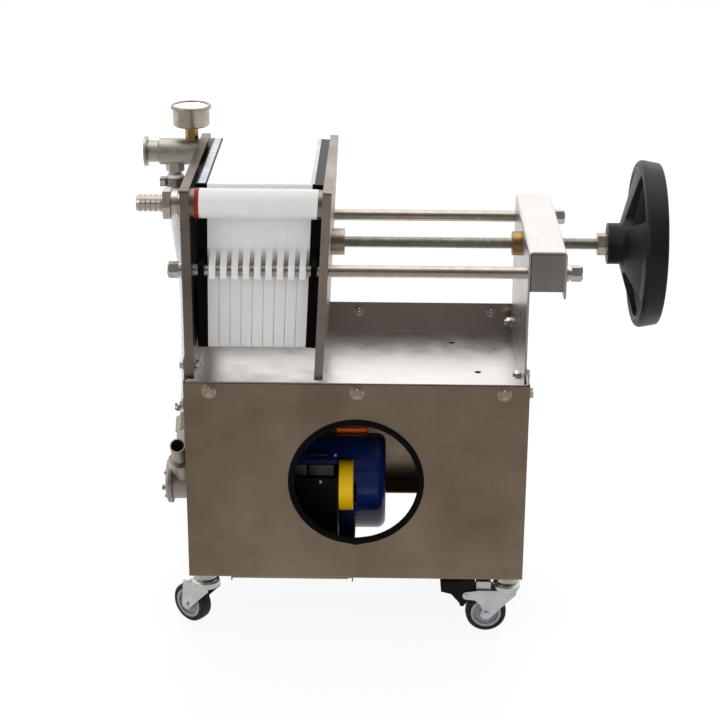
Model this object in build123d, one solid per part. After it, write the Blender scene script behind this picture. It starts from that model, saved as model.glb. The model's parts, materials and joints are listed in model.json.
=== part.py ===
from build123d import *
import os
from math import cos, radians, sin, sqrt, tan

# A small plate filter press on casters. Lengths are millimetres, angles are degrees.
# The stations below are measured from the housing: x from its left side, y from its front
# and z from the floor. The finished pieces are moved so that the origin lies on the floor
# under the middle of the whole machine.

# Housing
housing_width = 400.0
housing_depth = 287.0
panel_height = 252.0
ground_clearance = 82.0
sheet = 1.5
bend_radius = 2.0
bottom_flange = 48.0
flange_gap = 1.0
side_return = 18.0
side_flange = 22.0
return_gap = 2.0
opening_diameter = 158.0
opening_height = 127.0
pan_depth = 40.0
pan_rim_rise = 1.5
pan_corner_radius = 3.0
drain_diameter = 8.0
drain_insets = [(53.0, 145.0), (82.0, 43.0)]
rim_z = ground_clearance + panel_height
mid_y = housing_depth / 2

# Rubber edge trim of the round opening
trim_width = 7.0
trim_lip = 3.0
trim_cover = 1.0
trim_fit = 0.1

# Press frame
axis_height = 126.0
rod_diameter = 14.0
rod_spacing = 225.0
end_plate_width = 263.0
end_plate_height = 227.5
end_plate_thickness = 10.5
pressure_plate_thickness = 10.0
end_plate_dip = 2.0
end_plate_corner = 4.0
ear_width = 24.0
ear_height = 24.0
rod_hole_clearance = 0.05
moving_hole_clearance = 0.4
leaning_hole_clearance = 0.7
washer_diameter = 20.0
washer_width = 2.5
spring_washer_diameter = 17.0
spring_washer_width = 3.0
bolt_head_flats = 17.0
bolt_head_length = 12.5
bolt_head_crown = 2.0

beam_left = 394.5
beam_width = 44.0
beam_depth = 241.0
beam_rise = 27.5
beam_right_wall = 56.0
beam_sheet = 2.5
beam_bend = 3.0
beam_cover_height = 45.0
beam_cover_gap = 0.1
beam_cover_sheet = 0.8
screw_passage = 1.0

# Clamping screw and handwheel
screw_diameter = 14.0
screw_clearance = 0.05
thrust_boss_diameter = 32.0
thrust_boss_length = 16.0
thrust_boss_round = 1.0
thrust_socket_depth = 11.0
screw_nut_diameter = 29.0
screw_nut_length = 11.5
screw_nut_round = 1.2
lock_nut_flats = 24.0
lock_nut_length = 12.0
nut_bore_clearance = 0.1
hub_start = 497.0
hub_length = 20.0
hub_diameter = 50.0
hub_cap = 6.0
hub_cap_diameter = 42.0
wheel_rim_start = 530.5
wheel_rim_width = 26.5
wheel_diameter = 205.0
wheel_rim_thickness = 13.0
wheel_rim_taper = 5.0
wheel_rim_round = 3.0
wheel_web = 5.0
wheel_web_inset = 2.0
wheel_shoulder = 6.0
wheel_groove = 1.5
wheel_groove_inset = 4.0
window_count = 3
window_inner_radius = 35.0
window_inner_width = 17.0
window_outer_width = 78.0
window_round = 5.0

# Filter pack. Its stations in x hold at the height of the ports, about which the pack leans
head_lean = 1.0
pack_lean = 2.8
pack_start = 29.9
plate_count = 9
plate_pitch = 13.15
plate_thickness = 12.5
eye_gap = 0.08
plate_width = 210.0
plate_bottom = 28.5
plate_top = 225.5
plate_side_land = 32.0
plate_end_land = 12.0
grid_recess = 2.0
grid_rib = 3.0
grid_rib_count = 9
plate_corner = 2.0
hook_width = 7.0
hook_reach = 10.0
hook_drop = 8.0
hook_rise = 24.0
hook_root = 1.0
port_offset = 114.5
port_height = 205.5
port_diameter = 34.0
port_bore = 20.0
port_boss_length = 5.5
gasket_width = 4.7
gasket_lip = 0.6
tail_boss_length = 5.5
end_board_start = 17.6
end_board_thickness = 12.0
end_board_gap = 0.3
back_collar = 6.2
running_gap = 0.3

# Outlet barb, inlet tee, gauge and hose
barb_diameter = 20.0
barb_tip = -48.5
barb_ribs = 5
barb_step = 1.2
barb_bore = 13.0
outlet_hex_flats = 32.0
outlet_hex_left = -18.2
outlet_hex_length = 8.8
outlet_nut_diameter = 29.0
outlet_nut_left = -8.8
outlet_nut_length = 7.3
outlet_neck_diameter = 23.0
tee_left = -69.0
tee_diameter = 33.0
tee_neck_diameter = 27.0
tee_groove_diameter = 23.0
tee_neck_length = 17.0
tee_shoulder = 2.0
tee_cap_diameter = 37.0
tee_cap_width = 3.5
tee_branch_x = -32.0
tee_hex_flats = 20.0
tee_hex_drop = 8.0
tail_length = 20.0
gauge_x = -10.0
gauge_diameter = 45.0
gauge_rim_diameter = 50.0
gauge_bottom = 239.0
gauge_top = 264.5
gauge_rim_height = 4.0
gauge_rim_width = 4.0
gauge_glass_depth = 2.0
gauge_round = 1.5
gauge_hex_flats = 14.0
hose_outer = 22.0
hose_bore = 16.0
hose_fit = 0.1
hose_tail_gap = 4.0
hose_lead = 40.0
hose_belly = (6.0, 225.0)
hose_neck = (4.0, 290.0)
hose_bends = [88.0, 130.0, 110.0, 110.0]
clamp_width = 11.0
clamp_band = 1.2
clamp_gap = 0.1
clamp_housing = (8.0, 12.0)
clamp_inset = 10.0

# Motor, its seat and the pump
motor_diameter = 116.0
motor_seat = 4.0
motor_left = 62.0
motor_right = 235.0
motor_edge = 14.0
motor_step = 3.0
adapter_diameter = 84.0
adapter_step = 6.0
adapter_taper = 12.0
shelf_left = 50.0
shelf_width = 147.0
shelf_lip = 6.0
foot_length = 100.0
foot_width = 96.0
foot_middle = 123.5
foot_wrap = 28.0
foot_gap = 0.2
pump_body_diameter = 49.0
pump_hole_clearance = 1.0
pump_cover_diameter = 60.0
pump_cover_left = -41.0
pump_cover_width = 8.0
pump_cover_bevel = 6.0
drain_knob_diameter = 7.0
drain_knob_length = 7.0
drain_knob_drop = 12.0
port_angle = 49.0
pump_port_x = -18.7
pump_port_diameter = 19.0
pump_port_bore = 16.0
pump_port_length = 99.0
pump_collar_diameter = 27.0
pump_collar_length = 62.0
coupling_flats = 27.0
coupling_length = 20.0
shaft_height = ground_clearance + motor_seat + motor_diameter / 2

# Switch on the motor, placed from the motor's axis
switch_left = 118.0
switch_right = 177.5
switch_front = 83.5
switch_back = 20.0
switch_rise = 42.0
switch_drop = 56.0
switch_round = 3.0
motor_fit = 0.1
guard_width = 18.0
guard_diameter = 62.0
guard_rise = 19.0
guard_round = 1.5
guard_knob_diameter = 23.0
guard_knob_inset = 3.5
guard_knob_drop = 6.0
guard_knob_width = 4.0

# Casters; an outline's points are (along the trail, up from the floor)
caster_inset_x = 17.0
caster_inset_y = 30.0
wheel_radius = 25.0
wheel_width = 17.0
tread_crown = 0.6
tread_shoulder = 2.5
hub_radius = 18.5
hub_rim = 3.0
hub_dish = 4.0
hub_boss_radius = 7.0
hub_fit = 0.1
caster_trail = 24.0
axle_radius = 4.0
axle_head = 2.5
axle_clearance = 0.05
fork_gap = 20.6
fork_sheet = 2.0
fork_back = 12.0
fork_boss_radius = 6.8
fork_arm_radius = 5.0
race_radius = 17.0
race_top = 64.5
race_round = 1.5
fork_top = 57.5
stem_radius = 14.0
stem_taper = 5.0
stem_step = 4.0
king_pin_radius = 5.0
king_pin_head = 3.0
bracket_reach = (19.0, 36.5)
bracket_height = 68.0
bracket_width = 18.0
pedal_pivot = (48.2, 50.2)
pedal_pin_radius = 2.5
pedal_outline = [(80.6, 68.0), (79.4, 54.4), (67.0, 51.2), (57.3, 39.7), (55.5, 34.8), (51.6, 34.8),
                 (46.0, 43.5), (38.2, 54.4), (38.2, 70.2), (55.9, 70.2), (56.8, 68.0)]
pedal_side_gap = 0.4
left_trail_angle = 143.0

port_y = [mid_y - port_offset, mid_y + port_offset]
port_z = rim_z + port_height
rod_y = [mid_y - rod_spacing / 2, mid_y + rod_spacing / 2]
axis_z = rim_z + axis_height
plate_left = sheet
plate_right = plate_left + end_plate_thickness
boss_face = plate_right + port_boss_length
tail_left = pack_start + plate_count * plate_pitch + end_board_gap
pressure_left = tail_left + end_board_thickness + end_board_gap
pressure_right = pressure_left + pressure_plate_thickness
axis_drift = (port_z - axis_z) * tan(radians(pack_lean))
boss_left = pressure_right - axis_drift
boss_right = boss_left + thrust_boss_length
wheel_right = wheel_rim_start + wheel_rim_width
beam_top = axis_z + beam_rise
beam_right = beam_left + beam_width
tee_hex_bottom = port_z - tee_diameter / 2 - tee_hex_drop
origin_shift = Location((-(tee_left + wheel_right) / 2, -mid_y, 0))
over = 1.0


def box(x, y, z):
    """A block between two stations on each axis."""
    size = (x[1] - x[0], y[1] - y[0], z[1] - z[0])
    centre = ((x[0] + x[1]) / 2, (y[0] + y[1]) / 2, (z[0] + z[1]) / 2)
    return Pos(*centre) * Box(*size)


def rod_x(radius, x, y, z):
    """A round bar along X from x[0] to x[1]."""
    return Pos((x[0] + x[1]) / 2, y, z) * Rot(0, 90, 0) * Cylinder(radius, x[1] - x[0])


def rod_y_axis(radius, x, y, z):
    """A round bar along Y from y[0] to y[1]."""
    return Pos(x, (y[0] + y[1]) / 2, z) * Rot(90, 0, 0) * Cylinder(radius, y[1] - y[0])


def rod_z(radius, x, y, z):
    """A round bar along Z from z[0] to z[1]."""
    return Pos(x, y, (z[0] + z[1]) / 2) * Cylinder(radius, z[1] - z[0])


def hex_x(flats, x, y, z):
    """A hexagon bar along X, its flats given across."""
    profile = Plane.YZ.offset(x[0]) * Pos(y, z) * RegularPolygon(flats / sqrt(3), 6)
    return extrude(profile, x[1] - x[0], dir=(1, 0, 0))


def hex_z(flats, x, y, z):
    """A hexagon bar along Z, its flats given across."""
    profile = Plane.XY.offset(z[0]) * Pos(x, y) * RegularPolygon(flats / sqrt(3), 6)
    return extrude(profile, z[1] - z[0], dir=(0, 0, 1))


def turned_x(points, y, z):
    """A turned piece about an X axis; each point is (x, radius)."""
    outline = make_face(Polyline([(x, 0, radius) for x, radius in points], close=True))
    return Pos(0, y, z) * revolve(outline, Axis.X)


def turned_z(points, x, y):
    """A turned piece about a Z axis; each point is (radius, z)."""
    outline = make_face(Polyline([(radius, 0, z) for radius, z in points], close=True))
    return Pos(x, y, 0) * revolve(outline, Axis.Z)


def leaning(piece, share, pivot):
    """The piece leaned at the ports' height; share runs from 0 at the head board to 1 at the pressure plate."""
    angle = head_lean + share * (pack_lean - head_lean)
    return Pos(pivot, 0, port_z) * Rot(0, angle, 0) * Pos(-pivot, 0, -port_z) * piece


def face_panel(front):
    """Front or back panel: one sheet with a bottom flange and two side returns."""
    bottom, top = ground_clearance, rim_z - pan_rim_rise
    sheet_face = box((0, housing_width), (0, sheet), (bottom, top))
    flange = box((sheet, housing_width - sheet), (0, bottom_flange), (bottom, bottom + sheet))
    body = sheet_face + flange
    return_top = rim_z - pan_depth - sheet - return_gap
    for left in (sheet, housing_width - 2 * sheet):
        body += box((left, left + sheet), (0, side_return), (bottom, return_top))
    edges = body.edges().filter_by(Axis.X).filter_by_position(Axis.Z, bottom - sheet / 2, bottom + sheet / 2)
    body = fillet(edges.sort_by(Axis.Y)[0], bend_radius)
    if front:
        hole_z = ground_clearance + opening_height
        body -= rod_y_axis(opening_diameter / 2, housing_width / 2, (-over, sheet + over), hole_z)
        return body
    return Pos(0, housing_depth, 0) * mirror(body, Plane.XZ)


def left_panel():
    """Left panel with the pump's hole and two ears that carry the fixed end plate."""
    bottom, top = ground_clearance, rim_z
    body = box((0, sheet), (sheet, housing_depth - sheet), (bottom, top))
    for side in (-1, 1):
        edge = mid_y + side * end_plate_width / 2
        ear = sorted((edge, edge - side * ear_width))
        body += box((0, sheet), ear, (top, top + ear_height))
    flange_y = (bottom_flange + flange_gap, housing_depth - bottom_flange - flange_gap)
    body += box((0, side_flange), flange_y, (bottom, bottom + sheet))
    hole = pump_body_diameter / 2 + pump_hole_clearance
    return body - rod_x(hole, (-over, sheet + over), mid_y, shaft_height)


def right_panel():
    """Right panel: a plain sheet with a bottom flange."""
    bottom, top = ground_clearance, rim_z
    left, right = housing_width - sheet, housing_width
    body = box((left, right), (sheet, housing_depth - sheet), (bottom, top))
    flange_y = (bottom_flange + flange_gap, housing_depth - bottom_flange - flange_gap)
    return body + box((housing_width - side_flange, right), flange_y, (bottom, bottom + sheet))


def drip_pan():
    """Open tray that closes the housing and catches drips, with two drain holes."""
    outside_x = (sheet, housing_width - sheet)
    outside_y = (sheet, housing_depth - sheet)
    floor_z = rim_z - pan_depth
    block = box(outside_x, outside_y, (floor_z - sheet, rim_z))
    block = fillet(block.edges().filter_by(Axis.Z), pan_corner_radius)
    inner = box((outside_x[0] + sheet, outside_x[1] - sheet), (outside_y[0] + sheet, outside_y[1] - sheet),
                (floor_z, rim_z + over))
    inner = fillet(inner.edges().filter_by(Axis.Z), pan_corner_radius - sheet)
    notch = end_plate_width / 2 + running_gap
    tray = block - inner - box((0, plate_right), (mid_y - notch, mid_y + notch), (rim_z - end_plate_dip, rim_z + over))
    for from_right, from_back in drain_insets:
        x, y = housing_width - from_right, housing_depth - from_back
        tray -= rod_z(drain_diameter / 2, x, y, (floor_z - sheet - over, floor_z + over))
    return tray


def opening_trim():
    """Rubber U-section pushed over the edge of the round opening."""
    radius = opening_diameter / 2
    centre_z = ground_clearance + opening_height
    front, back = -trim_lip, sheet + trim_lip
    outer = radius + trim_cover
    points = [(front, radius - trim_width), (back, radius - trim_width), (back, outer), (sheet + trim_fit, outer),
              (sheet + trim_fit, radius - trim_fit), (-trim_fit, radius - trim_fit), (-trim_fit, outer),
              (front, outer)]
    outline = make_face(Polyline([(r, y, 0) for y, r in points], close=True))
    return Pos(housing_width / 2, 0, centre_z) * revolve(outline, Axis.Y)


def motor_shelf():
    """Shelf under the housing that carries the motor, with two edges turned down."""
    left, right = shelf_left, shelf_left + shelf_width
    top = ground_clearance
    depth = (sheet * 2, housing_depth - sheet * 2)
    body = box((left, right), depth, (top - sheet, top))
    for edge in (left, right - sheet):
        body += box((edge, edge + sheet), depth, (top - shelf_lip, top))
    return body


def motor_body():
    """Motor shell with a rounded right end."""
    shell = rod_x(motor_diameter / 2, (motor_left, motor_right), mid_y, shaft_height)
    return fillet(shell.edges().filter_by(GeomType.CIRCLE).sort_by(Axis.X)[-1], motor_edge)


def motor_space(clearance):
    """The round space that the motor fills, grown by a clearance."""
    return rod_x(motor_diameter / 2 + clearance, (motor_left - over, motor_right), mid_y, shaft_height)


def motor_adapter():
    """Black bell between the motor and the pump."""
    left = sheet + over
    profile = [(left, 0), (left, pump_body_diameter / 2 + adapter_step),
               (sheet + adapter_taper, adapter_diameter / 2), (motor_left, motor_diameter / 2 - motor_step),
               (motor_left, 0)]
    return turned_x(profile, mid_y, shaft_height)


def foot_block(grow):
    """The block that the motor's foot is cut from, grown by a clearance."""
    half_length, half_width = foot_length / 2 + grow, foot_width / 2 + grow
    top = shaft_height - motor_diameter / 2 + foot_wrap
    return box((foot_middle - half_length, foot_middle + half_length), (mid_y - half_width, mid_y + half_width),
               (ground_clearance, top + grow))


def motor_foot():
    """Foot block that seats the motor on its shelf."""
    return foot_block(0) - motor_space(0)


def switch_box():
    """Black terminal box in front of the motor."""
    front = mid_y - switch_front
    block = box((switch_left, switch_right), (front, mid_y - switch_back),
                (shaft_height - switch_drop, shaft_height + switch_rise))
    block = fillet(block.edges().filter_by(Axis.Z).sort_by(Axis.Y)[:2], switch_round)
    return block - motor_space(motor_fit) - foot_block(foot_gap)


def switch_guard():
    """Yellow switch surround on the right side of the box."""
    centre_y = mid_y - switch_front + guard_diameter / 2
    disc = rod_x(guard_diameter / 2, (switch_right, switch_right + guard_width), centre_y, shaft_height + guard_rise)
    disc = fillet(disc.edges().filter_by(GeomType.CIRCLE), guard_round)
    return disc - motor_space(motor_fit)


def switch_knob():
    """Black turning knob seen beside the yellow surround."""
    centre_y = mid_y - switch_front + guard_knob_inset + guard_knob_diameter / 2
    left = switch_right + guard_width
    height = shaft_height + guard_rise - guard_knob_drop
    return rod_x(guard_knob_diameter / 2, (left, left + guard_knob_width), centre_y, height)


def port_frame(side):
    """Location at the pump's middle whose Z runs along one port; side is -1 front, 1 back."""
    return Pos(pump_port_x, mid_y, shaft_height) * Rot(-side * (90 - port_angle), 0, 0)


def pump_body():
    """Pump casing with two collars in a V: a bare spigot in front, a hexagon coupling behind."""
    solid = rod_x(pump_body_diameter / 2, (pump_cover_left + pump_cover_width, sheet + over), mid_y, shaft_height)
    collar = Pos(0, 0, pump_collar_length / 2) * Cylinder(pump_collar_diameter / 2, pump_collar_length)
    spigot = Pos(0, 0, pump_port_length / 2) * Cylinder(pump_port_diameter / 2, pump_port_length)
    depth = pump_port_length - pump_body_diameter / 2 + over
    bore = Pos(0, 0, pump_port_length + over - depth / 2) * Cylinder(pump_port_bore / 2, depth)
    solid += port_frame(-1) * collar + port_frame(-1) * spigot
    coupling_end = pump_collar_length + coupling_length
    section = Plane.XY.offset(pump_collar_length) * RegularPolygon(coupling_flats / sqrt(3), 6)
    hexagon = extrude(section, coupling_length)
    tail = Pos(0, 0, coupling_end + tail_length / 2) * Cylinder(hose_bore / 2 - hose_fit, tail_length)
    solid += port_frame(1) * collar + port_frame(1) * hexagon + port_frame(1) * tail
    return solid - port_frame(-1) * bore


def pump_cover():
    """Front cover of the pump with its bevelled rim and a drain knob."""
    left, right = pump_cover_left, pump_cover_left + pump_cover_width
    radius = pump_cover_diameter / 2
    step = pump_cover_width / 4
    profile = [(left, 0), (left, radius - pump_cover_bevel), (left + step, radius - step / 2), (left + 2 * step, radius),
               (right, radius), (right, 0)]
    cover = turned_x(profile, mid_y, shaft_height)
    knob_z = shaft_height - drain_knob_drop
    return cover + rod_x(drain_knob_diameter / 2, (left - drain_knob_length, left + over), mid_y, knob_z)


def port_point(distance):
    """A point on the axis of the pump's back port."""
    angle = radians(port_angle)
    return (pump_port_x, mid_y + distance * cos(angle), shaft_height + distance * sin(angle))


def hose_route():
    """Centre line of the feed hose from the coupling on the pump up to the tee."""
    start = pump_collar_length + coupling_length + hose_tail_gap
    end = tee_hex_bottom - hose_tail_gap
    points = [port_point(start), port_point(start + hose_lead),
              (pump_port_x, port_y[1] - hose_belly[0], shaft_height + hose_belly[1]),
              (tee_branch_x + hose_neck[0], port_y[1], shaft_height + hose_neck[1]),
              (tee_branch_x, port_y[1], end - tail_length - hose_tail_gap), (tee_branch_x, port_y[1], end)]
    return FilletPolyline(*points, radius=hose_bends)


def feed_hose():
    """Hose that feeds the tee, its ribs left plain."""
    route = hose_route()
    start = Plane(origin=route @ 0, z_dir=route % 0)
    return sweep(start * (Circle(hose_outer / 2) - Circle(hose_bore / 2)), path=route)


def hose_clamps():
    """Band clamps at both ends of the feed hose."""
    route = hose_route()
    inner = hose_outer / 2 + clamp_gap
    clamps = []
    for place in (clamp_inset, route.length - clamp_inset):
        at = place / route.length
        plane = Plane(origin=route @ at, z_dir=route % at)
        ring = Cylinder(inner + clamp_band, clamp_width) - Cylinder(inner, clamp_width + over)
        deep, wide = clamp_housing
        housing = Pos(-(inner + deep / 2), 0, 0) * Box(deep, wide, clamp_width - over)
        housing -= Cylinder(inner, clamp_width + over)
        clamps.append(plane.location * (ring + housing))
    return Compound(children=clamps)


def inlet_tee():
    """Cast tee behind the fixed end plate: run, capped end and branch with its hose tail."""
    y, z = port_y[1], port_z
    cap_right = tee_left + tee_cap_width
    groove_right = cap_right + tee_shoulder
    neck_right = tee_left + tee_neck_length
    profile = [(tee_left, 0), (tee_left, tee_cap_diameter / 2), (cap_right, tee_cap_diameter / 2),
               (cap_right, tee_groove_diameter / 2), (groove_right, tee_groove_diameter / 2),
               (groove_right, tee_neck_diameter / 2), (neck_right, tee_neck_diameter / 2),
               (neck_right + tee_shoulder, tee_diameter / 2), (0, tee_diameter / 2), (0, 0)]
    body = turned_x(profile, y, z)
    body += hex_z(tee_hex_flats, tee_branch_x, y, (tee_hex_bottom, z))
    return body + rod_z(hose_bore / 2 - hose_fit, tee_branch_x, y, (tee_hex_bottom - tail_length, tee_hex_bottom + over))


def gauge_stem():
    """Brass hexagon between the tee and the gauge."""
    stem = hex_z(gauge_hex_flats, gauge_x, port_y[1], (port_z, rim_z + gauge_bottom))
    return stem - rod_x(tee_diameter / 2 + screw_clearance, (tee_left, 0), port_y[1], port_z)


def gauge_case():
    """Round gauge that faces upwards, with a rim flange and a recessed face."""
    low, high = rim_z + gauge_bottom, rim_z + gauge_top
    radius, rim = gauge_diameter / 2, gauge_rim_diameter / 2
    inner = rim - gauge_rim_width
    points = [(0, low), (radius - gauge_round, low), (radius, low + gauge_round), (radius, high - gauge_rim_height),
              (rim, high - gauge_rim_height), (rim, high - gauge_round), (rim - gauge_round, high), (inner, high),
              (inner, high - gauge_glass_depth), (0, high - gauge_glass_depth)]
    return turned_z(points, gauge_x, port_y[1])


def outlet_barb():
    """Hose barb, hexagon, round nut and neck of the filtered outlet, bored through."""
    y, z = port_y[0], port_z
    tip, hex_left = barb_tip, outlet_hex_left
    radius = barb_diameter / 2
    rib = (hex_left - tip - over) / barb_ribs
    points = [(tip, barb_bore / 2), (tip, radius - barb_step)]
    for i in range(barb_ribs):
        left = tip + i * rib
        points += [(left + rib * 0.75, radius), (left + rib * 0.8, radius - barb_step)]
    points += [(hex_left, radius - barb_step), (hex_left, barb_bore / 2)]
    body = turned_x(points, y, z)
    hex_right = hex_left + outlet_hex_length
    body += hex_x(outlet_hex_flats, (hex_left, hex_right), y, z)
    body += rod_x(outlet_neck_diameter / 2, (hex_right, plate_left), y, z)
    body += rod_x(outlet_nut_diameter / 2, (outlet_nut_left, outlet_nut_left + outlet_nut_length), y, z)
    return body - rod_x(barb_bore / 2, (tip - over, plate_left + over), y, z)


def end_plate_blank(x):
    """Outline shared by the fixed and the pressure plate."""
    y = (mid_y - end_plate_width / 2, mid_y + end_plate_width / 2)
    bottom = rim_z - end_plate_dip
    block = box(x, y, (bottom, bottom + end_plate_height))
    return fillet(block.edges().filter_by(Axis.X), end_plate_corner)


def fixed_end_plate():
    """Left end plate with two port bosses, drilled for the rods and both ports."""
    x = (plate_left, plate_right)
    plate = end_plate_blank(x)
    for y in port_y:
        plate += rod_x(port_diameter / 2, (plate_right, boss_face), y, port_z)
        plate -= rod_x(port_bore / 2, (x[0] - over, boss_face + over), y, port_z)
    for y in rod_y:
        plate -= rod_x(rod_diameter / 2 + rod_hole_clearance, (x[0] - over, x[1] + over), y, axis_z)
    return plate


def pressure_plate():
    """Moving end plate: slides on both rods, with blind bosses that close the two ports."""
    x = (pressure_left, pressure_right)
    plate = end_plate_blank(x)
    for y in port_y:
        plate += rod_x(port_diameter / 2, (x[0] - tail_boss_length, x[0]), y, port_z)
    plate = leaning(plate, 1, tail_left)
    for y in rod_y:
        plate -= rod_x(rod_diameter / 2 + leaning_hole_clearance, (boss_left - 20, boss_left + 20), y, axis_z)
    return plate


def thrust_boss():
    """Cup on the leaning pressure plate that takes the screw's level tip."""
    inside = boss_left - pressure_plate_thickness / 2
    boss = rod_x(thrust_boss_diameter / 2, (inside, boss_right), mid_y, axis_z)
    boss = fillet(boss.edges().filter_by(GeomType.CIRCLE).sort_by(Axis.X)[-1], thrust_boss_round)
    boss -= leaning(end_plate_blank((pressure_left, pressure_right)), 1, tail_left)
    socket = (boss_right - thrust_socket_depth, boss_right + over)
    return boss - rod_x(screw_diameter / 2 + screw_clearance, socket, mid_y, axis_z)


def tie_rod(y):
    """Round bar from the fixed plate's left face to the crossbeam's right face."""
    return rod_x(rod_diameter / 2, (plate_left, beam_right), y, axis_z)


def rod_bolts():
    """Washer, spring washer and bolt head at both ends of both rods."""
    bolts = []
    ends = ((plate_left, -1), (beam_right, 1))
    for y in rod_y:
        for face, side in ends:
            washer = face + side * washer_width
            head = washer + side * spring_washer_width
            end = head + side * bolt_head_length
            stack = rod_x(washer_diameter / 2, sorted((face, washer)), y, axis_z)
            stack += rod_x(spring_washer_diameter / 2, sorted((washer, head)), y, axis_z)
            crown = turned_x([(head, 0), (head, bolt_head_flats), (end - side * bolt_head_crown, bolt_head_flats / sqrt(3)),
                              (end, (bolt_head_flats - bolt_head_crown) / 2), (end, 0)], y, axis_z)
            bolts.append(stack + (hex_x(bolt_head_flats, sorted((head, end)), y, axis_z) & crown))
    return Compound(children=bolts)


def crossbeam():
    """Folded channel whose left wall runs down into the pan as a leg."""
    left, right, top = beam_left, beam_right, beam_top
    y = (mid_y - beam_depth / 2, mid_y + beam_depth / 2)
    leg_bottom = rim_z - pan_depth
    thick = beam_sheet
    outer = [(left, leg_bottom), (left, top), (right, top), (right, top - beam_right_wall)]
    inner = [(right - thick, top - beam_right_wall), (right - thick, top - thick), (left + thick, top - thick),
             (left + thick, leg_bottom)]
    face = make_face(Polyline([(px, 0, pz) for px, pz in outer + inner], close=True))
    channel = Pos(0, y[1], 0) * extrude(face, y[1] - y[0], dir=(0, -1, 0))
    near = beam_sheet / 4
    for px, pz, radius in ((left, top, beam_bend + thick), (right, top, beam_bend + thick),
                           (left + thick, top - thick, beam_bend), (right - thick, top - thick, beam_bend)):
        corner = channel.edges().filter_by(Axis.Y).filter_by_position(Axis.X, px - near, px + near)
        channel = fillet(corner.filter_by_position(Axis.Z, pz - near, pz + near), radius)
    for rod in rod_y:
        channel -= rod_x(rod_diameter / 2 + rod_hole_clearance, (left - over, right + over), rod, axis_z)
    return channel - rod_x(screw_diameter / 2 + screw_passage, (left - over, right + over), mid_y, axis_z)


def beam_covers():
    """Plates that close the channel at its front and back ends."""
    inside = (beam_left + beam_sheet + beam_cover_gap, beam_right - beam_sheet - beam_cover_gap)
    top = beam_top - beam_sheet - beam_cover_gap
    covers = []
    for y in (mid_y - beam_depth / 2, mid_y + beam_depth / 2 - beam_cover_sheet):
        plate = box(inside, (y, y + beam_cover_sheet), (top - beam_cover_height, top))
        covers.append(fillet(plate.edges().filter_by(Axis.Y).sort_by(Axis.Z)[-2:], beam_bend))
    return Compound(children=covers)


def screw_nut():
    """Brass nut pressed against the crossbeam's left wall."""
    start = beam_left - screw_nut_length
    ring = rod_x(screw_nut_diameter / 2, (start, beam_left), mid_y, axis_z)
    ring = fillet(ring.edges().filter_by(GeomType.CIRCLE).sort_by(Axis.X)[0], screw_nut_round)
    return ring - rod_x(screw_diameter / 2 + screw_clearance, (start - over, beam_left + over), mid_y, axis_z)


def spindle():
    """Clamping screw, its thread left plain."""
    tip = boss_right - thrust_socket_depth + running_gap
    bar = rod_x(screw_diameter / 2, (tip, hub_start + hub_length - beam_bend), mid_y, axis_z)
    return chamfer(bar.edges().filter_by(GeomType.CIRCLE).sort_by(Axis.X)[0], 1)


def lock_nut():
    """Hexagon nut that locks the handwheel on the screw."""
    start = hub_start - lock_nut_length
    nut = hex_x(lock_nut_flats, (start, hub_start), mid_y, axis_z)
    return nut - rod_x(screw_diameter / 2 + nut_bore_clearance, (start - over, hub_start + over), mid_y, axis_z)


def handwheel():
    """Moulded handwheel: hub, conical web with three windows and a tapered rim."""
    outer, start, end = wheel_diameter / 2, wheel_rim_start, wheel_right
    hub, hub_end = hub_diameter / 2, hub_start + hub_length
    cap, cap_end = hub_cap_diameter / 2, hub_start + hub_length + hub_cap
    web_out = outer - wheel_rim_thickness
    web_end = start + wheel_web_inset
    core = screw_diameter
    hub_part = turned_x([(hub_start, 0), (hub_start, hub), (hub_end, hub), (cap_end, cap), (cap_end, 0)], mid_y, axis_z)
    web = turned_x([(hub_end - wheel_web, core), (hub_end - wheel_web, hub), (web_end, web_out + over),
                    (web_end + wheel_web, web_out + over), (cap_end, cap - over), (cap_end, core)], mid_y, axis_z)
    for number in range(window_count):
        web -= wheel_window(number)
    rim = turned_x([(start, web_out), (start, outer), (end, outer - wheel_rim_taper), (end, web_out)], mid_y, axis_z)
    rim = fillet(rim.edges().filter_by(GeomType.CIRCLE).sort_by(SortBy.RADIUS)[:-1], wheel_rim_round)
    rim = fillet(rim.edges().filter_by(GeomType.CIRCLE).sort_by(SortBy.RADIUS)[-1], wheel_shoulder)
    inner = web_out + wheel_groove_inset
    groove = turned_x([(start - over, inner), (start - over, inner + wheel_groove),
                       (start + wheel_groove, inner + wheel_groove), (start + wheel_groove, inner)], mid_y, axis_z)
    wheel = hub_part + web + (rim - groove)
    socket = (hub_start - over, hub_end - beam_bend + nut_bore_clearance)
    return wheel - rod_x(screw_diameter / 2 + nut_bore_clearance, socket, mid_y, axis_z)


def wheel_window(number):
    """Cutter for one window between two spokes: widens from hub to rim, with rounded corners."""
    inner, half_in, half_out = window_inner_radius, window_inner_width / 2, window_outer_width / 2
    rim = wheel_diameter / 2 - wheel_rim_thickness - over
    outer = sqrt(rim ** 2 - half_out ** 2)
    line = Line((inner, half_in), (outer, half_out)) + ThreePointArc((outer, half_out), (rim, 0), (outer, -half_out))
    line += Line((outer, -half_out), (inner, -half_in)) + Line((inner, -half_in), (inner, half_in))
    window = make_face(line)
    window = fillet(window.vertices(), window_round)
    turn = number * 360 / window_count
    cutter = extrude(Plane.YZ * Rot(0, 0, turn) * window, wheel_right - hub_start + over)
    return Pos(hub_start, mid_y, axis_z) * cutter


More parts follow.
